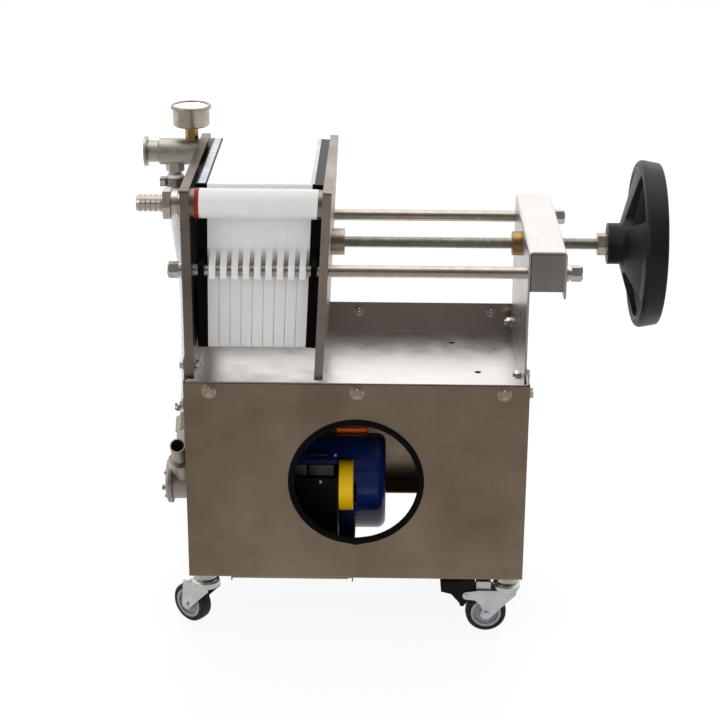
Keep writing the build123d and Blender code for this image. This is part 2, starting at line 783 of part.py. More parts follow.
def hook(x, side, clearance):
    """Lug that hangs a plate over one rod, open below; side is -1 front, 1 back."""
    rod = mid_y + side * rod_spacing / 2
    face = mid_y + side * plate_width / 2
    tip = rod + side * hook_reach
    points = [(face - side * hook_root, axis_z + hook_rise), (face, axis_z + hook_rise), (tip, axis_z + hook_drop),
              (tip, axis_z - hook_drop), (face - side * hook_root, axis_z - hook_drop)]
    outline = make_face(Polyline([(0, py, pz) for py, pz in points], close=True))
    lug = extrude(Pos(x - hook_width / 2, 0, 0) * outline, hook_width, dir=(1, 0, 0))
    radius = rod_diameter / 2 + clearance
    reach = (x - hook_width, x + hook_width)
    lug -= rod_x(radius, reach, rod, axis_z)
    return lug - box(reach, (rod - radius, rod + radius), (axis_z - 2 * hook_drop, axis_z))


def plate_block(x):
    """Square plate body between two X stations."""
    y = (mid_y - plate_width / 2, mid_y + plate_width / 2)
    block = box(x, y, (rim_z + plate_bottom, rim_z + plate_top))
    return fillet(block.edges().filter_by(Axis.X), plate_corner)


def drained_face(block, x):
    """The block with one face sunk for its filter pad, upright ribs left standing in the recess."""
    y = (mid_y - plate_width / 2 + plate_side_land, mid_y + plate_width / 2 - plate_side_land)
    z = (rim_z + plate_bottom + plate_end_land, rim_z + plate_top - plate_end_land)
    pitch = (y[1] - y[0]) / (grid_rib_count + 1)
    first = y[0]
    for number in range(grid_rib_count + 1):
        left = first + number * pitch + (grid_rib / 2 if number else 0)
        right = first + (number + 1) * pitch - (grid_rib / 2 if number < grid_rib_count else 0)
        block -= box(x, (left, right), z)
    return block


def filter_plate(number):
    """One filter plate: ribbed faces, two hooks on the rods, and an eye at each port."""
    left = pack_start + number * plate_pitch + eye_gap / 2
    right = left + plate_pitch - eye_gap
    face_left = (left + right - plate_thickness) / 2
    face_right = face_left + plate_thickness
    plate = plate_block((face_left, face_right))
    plate = drained_face(plate, (face_left - over, face_left + grid_recess))
    plate = drained_face(plate, (face_right - grid_recess, face_right + over))
    first, last = number == 0, number == plate_count - 1
    front_eye = (boss_face + gasket_width + 2 * running_gap if first else left,
                 pressure_left - tail_boss_length - running_gap if last else right)
    back_eye = (left + back_collar if first else left, right - back_collar if last else right)
    socket = port_diameter / 2 + end_board_gap
    if first:
        plate -= rod_x(socket, (left - over, left + back_collar), port_y[1], port_z)
    if last:
        plate -= rod_x(socket, (right - back_collar, right + over), port_y[1], port_z)
    for y, x in zip(port_y, (front_eye, back_eye)):
        plate += rod_x(port_diameter / 2, x, y, port_z)
        plate -= rod_x(port_bore / 2, (x[0] - 2 * plate_pitch, x[1] + 2 * plate_pitch), y, port_z)
    middle = (left + right) / 2
    share = (number + 1) / (plate_count + 1)
    hung = plate + hook(middle, -1, moving_hole_clearance) + hook(middle, 1, moving_hole_clearance)
    return leaning(hung, share, left + plate_pitch)


def end_board(x, collar, boss):
    """Black end board with hooks, cut clear of the front port, collared and recessed at the back port."""
    board = plate_block(x)
    clear = port_diameter / 2 + end_board_gap
    board -= rod_x(clear + gasket_lip, (x[0] - over, x[1] + over), port_y[0], port_z)
    board += rod_x(port_diameter / 2, collar, port_y[1], port_z)
    if boss[1] > x[0] and boss[0] < x[1]:
        board -= rod_x(clear, boss, port_y[1], port_z)
    board -= rod_x(port_bore / 2, (x[0] - 2 * plate_pitch, x[1] + 2 * plate_pitch), port_y[1], port_z)
    middle = (x[0] + x[1]) / 2
    return board + hook(middle, -1, leaning_hole_clearance) + hook(middle, 1, leaning_hole_clearance)


def head_board():
    """End board beside the fixed plate."""
    x = (end_board_start, end_board_start + end_board_thickness)
    collar = (x[1] - over, pack_start + back_collar - end_board_gap)
    return leaning(end_board(x, collar, (x[0] - over, boss_face + end_board_gap)), 0, pack_start)


def tail_board():
    """End board carried by the pressure plate."""
    x = (tail_left, tail_left + end_board_thickness + end_board_gap)
    boss_end = pressure_left - tail_boss_length
    collar = (tail_left - end_board_gap - back_collar + running_gap, boss_end)
    return leaning(end_board(x, collar, (boss_end, x[1] + over)), 1, tail_left)


def port_gasket():
    """Red ring that seals the front port against the fixed plate's boss."""
    x = (boss_face, boss_face + gasket_width)
    ring = rod_x(port_diameter / 2 + gasket_lip, x, port_y[0], port_z)
    return ring - rod_x(port_bore / 2, (x[0] - over, x[1] + over), port_y[0], port_z)


def caster_stem(x, y):
    """Fixed upper part of a caster: domed ring and king pin."""
    low = race_top + running_gap
    ring = turned_z([(0, low), (stem_radius - stem_step / 2, low), (stem_radius, race_top + stem_step),
                     (stem_radius - over, ground_clearance - stem_step), (stem_radius - stem_taper, ground_clearance),
                     (0, ground_clearance)], x, y)
    foot = fork_top - fork_sheet
    pin = rod_z(king_pin_radius, x, y, (foot - stem_step, race_top + 2 * over))
    head = rod_z(king_pin_radius + king_pin_head, x, y, (foot - stem_step, foot - running_gap))
    return ring + pin + head


def caster_stems():
    """The four fixed upper parts."""
    return Compound(children=[caster_stem(x, y) for x, y, _, _ in casters()])


def casters():
    """Place, trailing angle and brake of each caster."""
    left, right = caster_inset_x, housing_width - caster_inset_x
    front, back = caster_inset_y, housing_depth - caster_inset_y
    return [(left, front, left_trail_angle, False), (right, front, 180.0, True),
            (left, back, -left_trail_angle, False), (right, back, 180.0, True)]


def caster_place(number):
    """Location of a caster's swivel frame: trailing along its own X."""
    x, y, angle, _ = casters()[number]
    return Pos(x, y, 0) * Rot(0, 0, angle)


def cheek_outline(braked):
    """Side outline of the fork in its own X and Z, its boss round the axle and its arm round the pedal's pivot."""
    trail, axle, boss = caster_trail, wheel_radius, fork_boss_radius
    pivot_x, pivot_z = pedal_pivot
    back = -fork_back
    start = (trail + boss * 0.98, axle + boss * 0.2)
    slope = (trail - boss * 0.7, axle - boss * 0.7)
    if braked:
        throat = (trail + boss * 0.7, axle + boss)
        arm_low, arm_high = (pivot_x, pivot_z - fork_arm_radius), (pivot_x, pivot_z + fork_arm_radius)
        arm_root = (pivot_x - 2 * fork_arm_radius, arm_low[1] - over)
        shoulder = (trail + 2 * fork_arm_radius, fork_top)
        line = Line(slope, start) + Line(start, throat)
        line += ThreePointArc(throat, (trail + boss * 1.15, axle + boss * 1.9), arm_root)
        line += Line(arm_root, arm_low) + Line(arm_low, arm_high) + Line(arm_high, shoulder)
        line += Line(shoulder, (back, fork_top))
    else:
        shoulder = (trail + boss / 2, fork_top)
        line = Line(slope, start) + Line(start, shoulder) + Line(shoulder, (back, fork_top))
    line += Line((back, fork_top), (back, fork_top - fork_arm_radius)) + Line((back, fork_top - fork_arm_radius), slope)
    wire = [edge.moved(Rot(90, 0, 0)) for edge in line.edges()]
    outline = make_face(wire)
    outline += Pos(trail, 0, axle) * Rot(90, 0, 0) * Circle(boss)
    if braked:
        outline += Pos(pivot_x, 0, pivot_z) * Rot(90, 0, 0) * Circle(fork_arm_radius)
    return outline


def fork(number):
    """Swivelling fork: bearing race, top plate, two cheeks, the axle and a braked fork's bracket."""
    braked = casters()[number][3]
    half = fork_gap / 2
    outside = half + fork_sheet
    outline = cheek_outline(braked)
    plate_end = bracket_reach[0] + fork_sheet if braked else caster_trail - fork_sheet
    body = box((-fork_back, plate_end), (-outside, outside), (fork_top - fork_sheet, fork_top))
    for start in (-outside, half):
        body += extrude(Pos(0, start, 0) * outline, fork_sheet, dir=(0, 1, 0))
    foot = fork_top - fork_sheet
    body += turned_z([(0, foot), (race_radius - race_round, foot), (race_radius, fork_top + race_round),
                      (race_radius, race_top - race_round), (race_radius - race_round, race_top), (0, race_top)], 0, 0)
    body -= rod_z(king_pin_radius + axle_clearance, 0, 0, (foot - over, race_top + over))
    ends = outside + axle_head
    body += rod_y_axis(axle_radius, caster_trail, (-ends, ends), wheel_radius)
    if braked:
        x, z = pedal_pivot
        body += rod_y_axis(pedal_pin_radius, x, (-outside - over, outside + over), z)
        wide = bracket_width / 2
        body += box(bracket_reach, (-wide, wide), (foot, bracket_height)) - box(
            (bracket_reach[0] + fork_sheet, bracket_reach[1] + over), (fork_sheet - wide, wide - fork_sheet),
            (foot - over, bracket_height + over))
    return caster_place(number) * body


def wheel_tyre(number):
    """Black tread of a caster wheel."""
    half = wheel_width / 2
    side = half - tread_shoulder + tread_crown
    points = [(hub_radius, -half), (wheel_radius - tread_shoulder, -half), (wheel_radius - tread_crown, -side),
              (wheel_radius, 0), (wheel_radius - tread_crown, side), (wheel_radius - tread_shoulder, half),
              (hub_radius, half)]
    outline = make_face(Polyline([(r, y, 0) for r, y in points], close=True))
    return caster_place(number) * Pos(caster_trail, 0, wheel_radius) * revolve(outline, Axis.Y)


def wheel_hub(number):
    """Grey wheel centre, dished on both sides and bored for the axle."""
    half = wheel_width / 2
    bore = axle_radius + axle_clearance
    side = fork_gap / 2 - running_gap
    rim, boss, dish = hub_radius - hub_fit, hub_boss_radius, half - hub_dish
    points = [(bore, -side), (boss, -side), (boss, -dish), (rim - hub_rim, -dish), (rim - hub_rim, -half), (rim, -half),
              (rim, half), (rim - hub_rim, half), (rim - hub_rim, dish), (boss, dish), (boss, side), (bore, side)]
    outline = make_face(Polyline([(r, y, 0) for r, y in points], close=True))
    return caster_place(number) * Pos(caster_trail, 0, wheel_radius) * revolve(outline, Axis.Y)


def brake_pedal(number):
    """Rocking pedal whose shoe meets the tread when it is pressed."""
    x, z = pedal_pivot
    half = fork_gap / 2 - pedal_side_gap
    outline = make_face(Polyline([(px, 0, pz) for px, pz in pedal_outline], close=True))
    body = extrude(Pos(0, -half, 0) * outline, 2 * half, dir=(0, 1, 0))
    body -= rod_y_axis(pedal_pin_radius + axle_clearance, x, (-half - over, half + over), z)
    return caster_place(number) * body


def all_pieces():
    """Every sub-part by its node name."""
    pieces = {
        "front_panel": face_panel(True),
        "back_panel": face_panel(False),
        "left_panel": left_panel(),
        "right_panel": right_panel(),
        "drip_pan": drip_pan(),
        "opening_trim": opening_trim(),
        "motor_shelf": motor_shelf(),
        "motor_body": motor_body(),
        "motor_adapter": motor_adapter(),
        "motor_foot": motor_foot(),
        "switch_box": switch_box(),
        "switch_guard": switch_guard(),
        "switch_knob": switch_knob(),
        "pump_body": pump_body(),
        "pump_cover": pump_cover(),
        "feed_hose": feed_hose(),
        "hose_clamps": hose_clamps(),
        "inlet_tee": inlet_tee(),
        "gauge_stem": gauge_stem(),
        "gauge_case": gauge_case(),
        "outlet_barb": outlet_barb(),
        "fixed_end_plate": fixed_end_plate(),
        "tie_rod_front": tie_rod(rod_y[0]),
        "tie_rod_back": tie_rod(rod_y[1]),
        "tie_rod_bolts": rod_bolts(),
        "crossbeam": crossbeam(),
        "beam_covers": beam_covers(),
        "screw_nut": screw_nut(),
        "head_board": head_board(),
        "port_gasket": port_gasket(),
        "pressure_plate": pressure_plate(),
        "tail_board": tail_board(),
        "thrust_boss": thrust_boss(),
        "spindle": spindle(),
        "lock_nut": lock_nut(),
        "handwheel": handwheel(),
        "caster_stems": caster_stems(),
    }
    for number in range(plate_count):
        pieces[f"filter_plate_{number + 1}"] = filter_plate(number)
    for number, (_, _, _, braked) in enumerate(casters()):
        pieces[f"caster_fork_{number + 1}"] = fork(number)
        pieces[f"caster_tyre_{number + 1}"] = wheel_tyre(number)
        pieces[f"caster_hub_{number + 1}"] = wheel_hub(number)
        if braked:
            pieces[f"brake_pedal_{number + 1}"] = brake_pedal(number)
    return pieces


os.makedirs("parts", exist_ok=True)
for name, piece in all_pieces().items():
    export_step(origin_shift * piece, f"parts/{name}.step")
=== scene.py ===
# A small plate filter press on casters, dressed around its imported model.
# Metres in the model's frame: x towards the handwheel, y to the back, z up from the floor.
import math
import bmesh
import bpy
import numpy as np
from mathutils import Matrix, Vector
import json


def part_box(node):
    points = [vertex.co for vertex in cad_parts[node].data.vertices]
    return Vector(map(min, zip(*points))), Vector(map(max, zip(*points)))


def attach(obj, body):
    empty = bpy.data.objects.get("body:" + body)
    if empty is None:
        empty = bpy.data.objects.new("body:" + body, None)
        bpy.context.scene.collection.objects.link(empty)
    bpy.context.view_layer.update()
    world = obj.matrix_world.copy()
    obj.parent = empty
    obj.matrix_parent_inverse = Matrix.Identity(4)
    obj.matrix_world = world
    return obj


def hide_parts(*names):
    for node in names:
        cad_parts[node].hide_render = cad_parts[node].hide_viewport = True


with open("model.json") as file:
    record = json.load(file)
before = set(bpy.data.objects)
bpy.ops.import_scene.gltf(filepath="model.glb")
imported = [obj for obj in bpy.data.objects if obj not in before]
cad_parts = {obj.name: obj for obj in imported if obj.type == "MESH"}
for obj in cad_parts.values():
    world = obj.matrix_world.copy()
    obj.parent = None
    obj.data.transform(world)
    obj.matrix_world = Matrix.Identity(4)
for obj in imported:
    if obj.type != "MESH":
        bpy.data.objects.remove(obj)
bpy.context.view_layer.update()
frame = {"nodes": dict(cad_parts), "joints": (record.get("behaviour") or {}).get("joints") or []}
nodes = frame["nodes"]
scene = bpy.context.scene
mm = 0.001
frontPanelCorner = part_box("front_panel")[0]
housingCorner = np.array([frontPanelCorner[0], frontPanelCorner[1], 0.0])


# Studio camera, fitted to the photograph

camera = {"place": (-0.00817, -2.06166, 1.10895), "yaw": -0.0165, "pitch": 0.3706, "roll": 0.0045,
          "lens": 89.896, "sensor": 36.0}


# View axes from yaw, pitch and roll: forward = (sin y cos p, cos y cos p, -sin p), then right and up turned by roll
def placeCamera():
    data = bpy.data.cameras.new("camera")
    data.lens, data.sensor_width = camera["lens"], camera["sensor"]
    data.clip_start, data.clip_end = 0.05, 60
    y, p, r = camera["yaw"], camera["pitch"], camera["roll"]
    forward = Vector((math.sin(y) * math.cos(p), math.cos(y) * math.cos(p), -math.sin(p)))
    level = Vector((math.cos(y), -math.sin(y), 0))
    upright = level.cross(forward)
    right = math.cos(r) * level + math.sin(r) * upright
    up = -math.sin(r) * level + math.cos(r) * upright
    turnedAxes = Matrix((right, up, -forward)).transposed().to_4x4()
    holder = bpy.data.objects.new("camera", data)
    holder.matrix_world = Matrix.Translation(camera["place"]) @ turnedAxes
    scene.collection.objects.link(holder)
    scene.camera = holder


placeCamera()


# Small tools for meshes. Stations are mm: x from the housing's left side, y from its front, z from the floor

def station(points):
    return np.asarray(points, float) * mm + housingCorner


# The way back: a node's corners, or any points in metres, as stations
def millimetres(points):
    return (np.asarray(points, float) - housingCorner) / mm


# A mesh with its doubles merged, faces turned outwards and smooth up to a sharp angle, riding on a body
def finishPiece(name, mesh, material, body, sharp=35):
    work = bmesh.new()
    work.from_mesh(mesh)
    bmesh.ops.remove_doubles(work, verts=work.verts, dist=1e-6)
    bmesh.ops.recalc_face_normals(work, faces=work.faces)
    work.to_mesh(mesh)
    work.free()
    mesh.polygons.foreach_set("use_smooth", np.ones(len(mesh.polygons), bool))
    mesh.set_sharp_from_angle(angle=math.radians(sharp))
    mesh.materials.append(material)
    piece = bpy.data.objects.new(name, mesh)
    scene.collection.objects.link(piece)
    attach(piece, body)
    return piece


# Quads between the neighbours of each (row, ring) grid; a row of no radius merges to a point and closes its end
def makePiece(name, grids, material, body, sharp=35):
    points, quads, start = [], [], 0
    for grid in grids:
        rows, ring = grid.shape[:2]
        row, turn = np.meshgrid(np.arange(rows - 1), np.arange(ring), indexing="ij")
        after = (turn + 1) % ring
        corners = np.stack([row * ring + turn, row * ring + after, (row + 1) * ring + after,
                            (row + 1) * ring + turn], axis=-1)
        quads.append(corners.reshape(-1, 4) + start)
        points.append(grid.reshape(-1, 3))
        start += rows * ring
    mesh = bpy.data.meshes.new(name)
    mesh.from_pydata(station(np.concatenate(points)).tolist(), [], np.concatenate(quads).tolist())
    return finishPiece(name, mesh, material, body, sharp)


axisFrames = {"x": ((1, 0, 0), (0, 1, 0), (0, 0, 1)), "-x": ((-1, 0, 0), (0, 1, 0), (0, 0, 1)),
              "y": ((0, 1, 0), (1, 0, 0), (0, 0, 1)), "-y": ((0, -1, 0), (1, 0, 0), (0, 0, 1)),
              "z": ((0, 0, 1), (1, 0, 0), (0, 1, 0))}


# Turned solid: centre + along * axis + r * (cos a * side + sin a * up). A row is (along, radius), or for a hexagon
# (along, half its flats, limit), where r = half / cos(a from the nearest flat's middle) up to the limit
def turned(rows, axis, centre, steps=36):
    forward, side, up = [np.array(v, float) for v in (axisFrames[axis] if isinstance(axis, str) else axis)]
    angle = np.arange(steps) * 2 * np.pi / steps
    offFlat = (angle + np.pi / 6) % (np.pi / 3) - np.pi / 6
    table = np.array([(row[0], row[1], row[2] if len(row) > 2 else 0.0) for row in rows])
    limit = table[:, 2:]
    radius = np.where(limit > 0, np.minimum(table[:, 1:2] / np.cos(offFlat), np.maximum(limit, 1e-9)), table[:, 1:2])
    outward = np.cos(angle)[:, None] * side + np.sin(angle)[:, None] * up
    return np.asarray(centre, float) + table[:, :1, None] * forward + radius[..., None] * outward


# Block with rounded edges: a rectangle's corners carried round by r * (cos a, sin a), rows drawn in as a quarter circle
def roundedBlock(low, high, radius, axis="y", steps=4):
    low, high = np.array(low, float), np.array(high, float)
    forward, side, up = [np.abs(np.array(v, float)) for v in axisFrames[axis]]
    centre, half = (low + high) / 2, (high - low) / 2
    deep, wide, tall = half @ forward, half @ side, half @ up
    quarter = np.linspace(0, np.pi / 2, steps)
    angle = np.concatenate([quarter + k * np.pi / 2 for k in range(4)])
    cornerSide = np.repeat([1, -1, -1, 1], steps) * (wide - radius)
    cornerUp = np.repeat([1, 1, -1, -1], steps) * (tall - radius)
    bend = np.linspace(0, np.pi / 2, steps)
    fallen = radius * (1 - np.cos(bend))
    along = np.concatenate([[-deep], -deep + fallen, deep - fallen[::-1], [deep]])
    reach = np.concatenate([[0], radius * np.sin(bend), radius * np.sin(bend[::-1]), [0]])
    middle = np.concatenate([[0], np.ones(2 * steps), [0]])
    across = middle[:, None] * cornerSide + reach[:, None] * np.cos(angle)
    above = middle[:, None] * cornerUp + reach[:, None] * np.sin(angle)
    return centre + along[:, None, None] * forward + across[..., None] * side + above[..., None] * up


# A ring of section points carried round an axis: the section is (along, radius), closed on itself
def ringSolid(section, axis, centre, steps=96):
    grid = turned(section, axis, centre, steps)
    return np.concatenate([grid, grid[:1]])


# Fasteners

rim = 334.0  # height of the drip pan's rim
bolts = {"flange": 8.7, "hexHalf": 5.8, "headRise": 5.6, "nutHalf": 5.0, "nutRise": 5.4, "washer": 6.6}


# Flange bolt: a domed flange under a hexagon of r = half / cos a with a chamfered, dished top
def flangeHead(place, axis):
    f, h, rise = bolts["flange"], bolts["hexHalf"], bolts["headRise"]
    corner = h / math.cos(math.pi / 6)
    rows = [(0, 0), (0, f - 0.3), (0.5, f), (1.2, f), (1.9, f - 1.1), (2.1, h + 0.6), (2.1, h, corner),
            (rise - 0.7, h, corner), (rise, h, h), (rise, h - 1.6), (rise - 0.8, h - 2.3), (rise - 0.8, 0)]
    return turned(rows, axis, place)


# Plain washer, hexagon nut and the bolt's end standing out of it by end
def nutAndEnd(place, axis, end):
    w, h, rise = bolts["washer"], bolts["nutHalf"], bolts["nutRise"]
    corner = h / math.cos(math.pi / 6)
    rows = [(0, 0), (0, w), (1.1, w), (1.1, h, h), (1.7, h, corner), (rise + 0.7, h, corner), (rise + 1.1, h, h),
            (rise + 1.1, 3.1), (rise + end, 3.1), (rise + end + 0.7, 2.3), (rise + end + 0.7, 0)]
    return turned(rows, axis, place)


# Small tools for colours and nodes

# sRGB hex to linear colour: c / 12.92 below the knee, ((c + 0.055) / 1.055) ^ 2.4 above it
def linear(hexColour):
    parts = [int(hexColour[i:i + 2], 16) / 255 for i in (1, 3, 5)]
    return (*[c / 12.92 if c <= 0.04045 else ((c + 0.055) / 1.055) ** 2.4 for c in parts], 1.0)


# One node with its settings; an input takes a value or another node's output, and stops colour a ramp
def addNode(tree, kind, settings=None, inputs=None, stops=()):
    node = tree.nodes.new(kind)
    for name, value in (settings or {}).items():
        setattr(node, name, value)
    for name, value in (inputs or {}).items():
        if isinstance(value, bpy.types.NodeSocket):
            tree.links.new(value, node.inputs[name])
        else:
            node.inputs[name].default_value = value
    for number, (position, hexColour) in enumerate(stops):
        elements = node.color_ramp.elements
        element = elements[number] if number < len(elements) else elements.new(position)
        element.position, element.color = position, linear(hexColour)
    return node


# A new principled material and, on object coordinates, a grain maker; grain is a feature's size in mm along x, y and z
def startMaterial(name, colour, roughness, metallic=0.0, **sockets):
    material = bpy.data.materials.new(name)
    material.use_nodes = True
    tree = material.node_tree
    shader = tree.nodes["Principled BSDF"]
    values = {"Base Color": linear(colour), "Roughness": roughness, "Metallic": metallic}
    values.update({key.replace("_", " "): value for key, value in sockets.items()})
    for key, value in values.items():
        shader.inputs[key].default_value = value
    place = addNode(tree, "ShaderNodeTexCoord").outputs["Object"]

    def grain(size, detail=2.0, rough=0.5, shift=(0, 0, 0)):
        scale = [1 / (g * mm) for g in size]
        mapped = addNode(tree, "ShaderNodeMapping", {}, {"Vector": place, "Scale": scale, "Location": shift})
        return addNode(tree, "ShaderNodeTexNoise", {}, {"Vector": mapped.outputs[0], "Scale": 1.0, "Detail": detail,
                                                        "Roughness": rough}).outputs["Fac"]

    return material, tree, shader, grain


# Base colour from a ramp over one field times a ramp over another, roughness stretched over a third, and a normal
# softened at edges, with bumps of (field, depth in mm) laid one over the other
def dress(tree, shader, tone, tones, fine=None, fineTones=(), wear=None, roughness=(0.3, 0.5), bumps=(), edge=0.5):
    count = len(tones)
    stops = [(0.3 + 0.4 * k / (count - 1), tones[k]) for k in range(count)]
    colour = addNode(tree, "ShaderNodeValToRGB", {}, {"Fac": tone}, stops).outputs["Color"]
    if fine is not None:
        second = addNode(tree, "ShaderNodeValToRGB", {}, {"Fac": fine},
                         [(0.3, fineTones[0]), (0.7, fineTones[1])]).outputs["Color"]
        colour = addNode(tree, "ShaderNodeMix", {"data_type": "RGBA", "blend_type": "MULTIPLY"},
                         {0: 1.0, 6: colour, 7: second}).outputs[2]
    tree.links.new(colour, shader.inputs["Base Color"])
    spread = addNode(tree, "ShaderNodeMapRange", {}, {"Value": tone if wear is None else wear, "From Min": 0.3,
                                                      "From Max": 0.7, "To Min": roughness[0], "To Max": roughness[1]})
    tree.links.new(spread.outputs["Result"], shader.inputs["Roughness"])
    normal = addNode(tree, "ShaderNodeBevel", {"samples": 4}, {"Radius": edge * mm}).outputs["Normal"]
    for field, depth in bumps:
        normal = addNode(tree, "ShaderNodeBump", {}, {"Height": field, "Distance": depth * mm, "Strength": 1.0,
                                                      "Normal": normal}).outputs["Normal"]
    tree.links.new(normal, shader.inputs["Normal"])


# Materials, each named for what the real one is, but for the painted reflection on the boards' tops

# Sizes in mm of a brushed sheet's marks, and the depth of its lines
sheetMarks = {"clouds": 95, "smears": 30, "scratch": (55, 1.3, 55), "lineDepth": 0.012,
              "lineTones": ("#e8e8e8", "#ffffff")}


# Stainless sheet, brushed: fine lines along one axis, drawn 0.45 mm apart so that they show, broad handling marks;
# paintedWallShade paints shade on the sides of a sheet and leaves its up-facing faces lit: colour * (shade, white by
# the normal's z)
def brushedSheet(name, lines, tones, roughness=(0.28, 0.44), scratches=0.0, waves=0.25, paintedWallShade=None):
    material, tree, shader, grain = startMaterial(name, tones[1], 0.4, 1.0)
    strokes = grain(lines, 3.0, 0.6)
    clouds = grain((sheetMarks["clouds"],) * 3, 3.0, 0.55)
    smears = grain((sheetMarks["smears"],) * 3, 4.0, 0.65, (3, 5, 7))
    bumps = [(strokes, sheetMarks["lineDepth"]), (clouds, waves)]
    if scratches:
        bumps.append((grain(sheetMarks["scratch"], 1.0, 0.5, (9, 2, 4)), scratches))
    dress(tree, shader, clouds, tones, strokes, sheetMarks["lineTones"], smears, roughness, bumps)
    # painted shade: the sides darker than the up-facing faces, by how far the normal turns from up
    if paintedWallShade:
        facing = addNode(tree, "ShaderNodeSeparateXYZ", {}, {0: addNode(tree, "ShaderNodeTexCoord").outputs["Normal"]})
        share = addNode(tree, "ShaderNodeMapRange", {}, {"Value": facing.outputs["Z"], "From Min": 0.3,
                                                         "From Max": 0.9}).outputs["Result"]
        facingShade = addNode(tree, "ShaderNodeMix", {"data_type": "RGBA"},
                       {0: share, 6: linear(paintedWallShade), 7: linear("#ffffff")}).outputs[2]
        plain = shader.inputs["Base Color"].links[0].from_socket
        shadedColour = addNode(tree, "ShaderNodeMix", {"data_type": "RGBA", "blend_type": "MULTIPLY"},
                       {0: 1.0, 6: plain, 7: facingShade})
        tree.links.new(shadedColour.outputs[2], shader.inputs["Base Color"])
    return material


# Turned or drawn bar: rings or lines too fine to show one by one, and a tight highlight
def turnedBar(name, tones, rings=(0.5, 30, 30), roughness=(0.2, 0.34), edge=0.4):
    material, tree, shader, grain = startMaterial(name, tones[0], 0.3, 1.0)
    ringField = grain(rings)
    dress(tree, shader, grain((12, 12, 12), 3.0), tones, wear=ringField, roughness=roughness, bumps=[(ringField, 0.01)],
          edge=edge)
    return material


# Investment-cast stainless, bead blasted: even fine pitting and a dull sheen
def castMetal(name, tones, grit=0.6, roughness=(0.36, 0.5)):
    material, tree, shader, grain = startMaterial(name, tones[0], 0.5, 1.0)
    clouds = grain((14, 14, 14), 3.0, 0.6)
    dress(tree, shader, clouds, tones, roughness=roughness, bumps=[(grain((grit, grit, grit)), 0.06)], edge=0.8)
    return material


# Moulded plastic, rubber or enamel: the mould's fine grain and slight tone changes
def moulded(name, tones, size=0.5, depth=0.03, roughness=(0.35, 0.5), edge=0.5, **sockets):
    material, tree, shader, grain = startMaterial(name, tones[0], 0.4, 0.0, **sockets)
    clouds = grain((30, 30, 30))
    dress(tree, shader, clouds, tones, roughness=roughness, bumps=[(grain((size, size, size)), depth)], edge=edge)
    return material


# Tones of the sheets: brown is painted shade on the sheets that face the front and sides, pale is painted light on the
# sheets that face up
shadedSheetTones = ("#857564", "#928271", "#9e8e7d")
litSheetTones = ("#e3dfdd", "#ebe8e6", "#f2f0ee")
litPanTones = ("#f4f2f1", "#f9f8f7", "#fdfcfb")
panelStainless = brushedSheet("brushedStainlessPanel", (45, 0.45, 0.45), shadedSheetTones)
sideStainless = brushedSheet("brushedStainlessSide", (0.45, 45, 0.45), shadedSheetTones)
# the pan and the beam: painted light on their up-facing faces, painted shade on their walls and flanges
panStainless = brushedSheet("brushedStainlessPan", (60, 0.5, 0.5), litPanTones, (0.26, 0.38), 0.008, 0.06, "#b8aca4")
beamStainless = brushedSheet("brushedStainlessBeam", (0.5, 60, 0.5), litSheetTones, (0.24, 0.36), 0.0, 0.1, "#cbcbcb")
uprightStainless = brushedSheet("brushedStainlessUpright", (0.45, 0.45, 45), ("#776d63", "#867c72", "#958b81"))
plateStainless = brushedSheet("brushedStainlessPlate", (0.45, 0.45, 45), ("#8f857b", "#9f958b", "#aea49a"))
coverStainless = brushedSheet("darkStainlessCover", (0.45, 0.45, 45), ("#837e7a", "#928d89", "#a19c97"))
drawnStainless = turnedBar("drawnStainlessBar", ("#aca39b", "#bcb3ab"), (25, 1.2, 1.2))
turnedStainless = turnedBar("turnedStainless", ("#bdb5aa", "#d2c9be"))
rolledThread = turnedBar("rolledThreadSteel", ("#9f9b94", "#b6b2ab"), (0.6, 8, 8), (0.3, 0.42), 0.2)
nickelNut = turnedBar("nickelPlatedSteel", ("#bcb8b2", "#d0ccc6"), (0.5, 4, 4), (0.16, 0.28), 0.3)
champagneNut = turnedBar("passivatedLockNut", ("#a89f91", "#bdb4a6"), (0.5, 4, 4), (0.22, 0.34))
rolledBezel = turnedBar("rolledBezelSteel", ("#8f877d", "#a0978c"), (6, 6, 0.5), (0.2, 0.3), 0.2)
spunCase = turnedBar("spunCaseSteel", ("#aba196", "#bdb3a7"), (30, 30, 0.5))
# the panel bolts are browner than the other bolts and nuts, like the front panel's sheet
panelBolt = turnedBar("brownPanelBolt", ("#a59686", "#b8a998"), (4, 0.5, 4), (0.2, 0.32), 0.3)
turnedBoss = turnedBar("turnedThrustBoss", ("#978d83", "#a89e93"))
wornClamp = turnedBar("wornClampSteel", ("#8c8278", "#9c9288"), (6, 6, 0.5), (0.26, 0.38))
castStainless = castMetal("castStainless", ("#aeaba2", "#c3c0b6"))
castPump = castMetal("castPumpHousing", ("#9a938b", "#b0a9a0"))
turnedBrass = turnedBar("turnedBrass", ("#94774e", "#a98b61"), (0.5, 6, 6), (0.3, 0.42))
zincPlate = turnedBar("zincPlatedSteel", ("#c4c8c8", "#dadddd"), (6, 6, 6), (0.24, 0.38))
darkZinc = turnedBar("dullZincStrap", ("#454648", "#5c5e60"), (6, 6, 6), (0.4, 0.5), 0.2)
motorEnamel = moulded("navyGlossEnamel", ("#051c50", "#082460"), 1.4, 0.01, (0.14, 0.2), 0.8, Specular_IOR_Level=0.5)
orangeCover = moulded("orangeGlossCover", ("#c8560f", "#da6a1c"), 1.0, 0.01, (0.2, 0.3))
blackAbs = moulded("blackAbs", ("#060607", "#0c0c0e"), 0.5, 0.02, (0.34, 0.46), Specular_IOR_Level=0.15)
blackBoard = moulded("polishedBlackAcetal", ("#020203", "#040407"), 0.8, 0.006, (0.12, 0.2), 1.2,
                     Specular_IOR_Level=0.06)
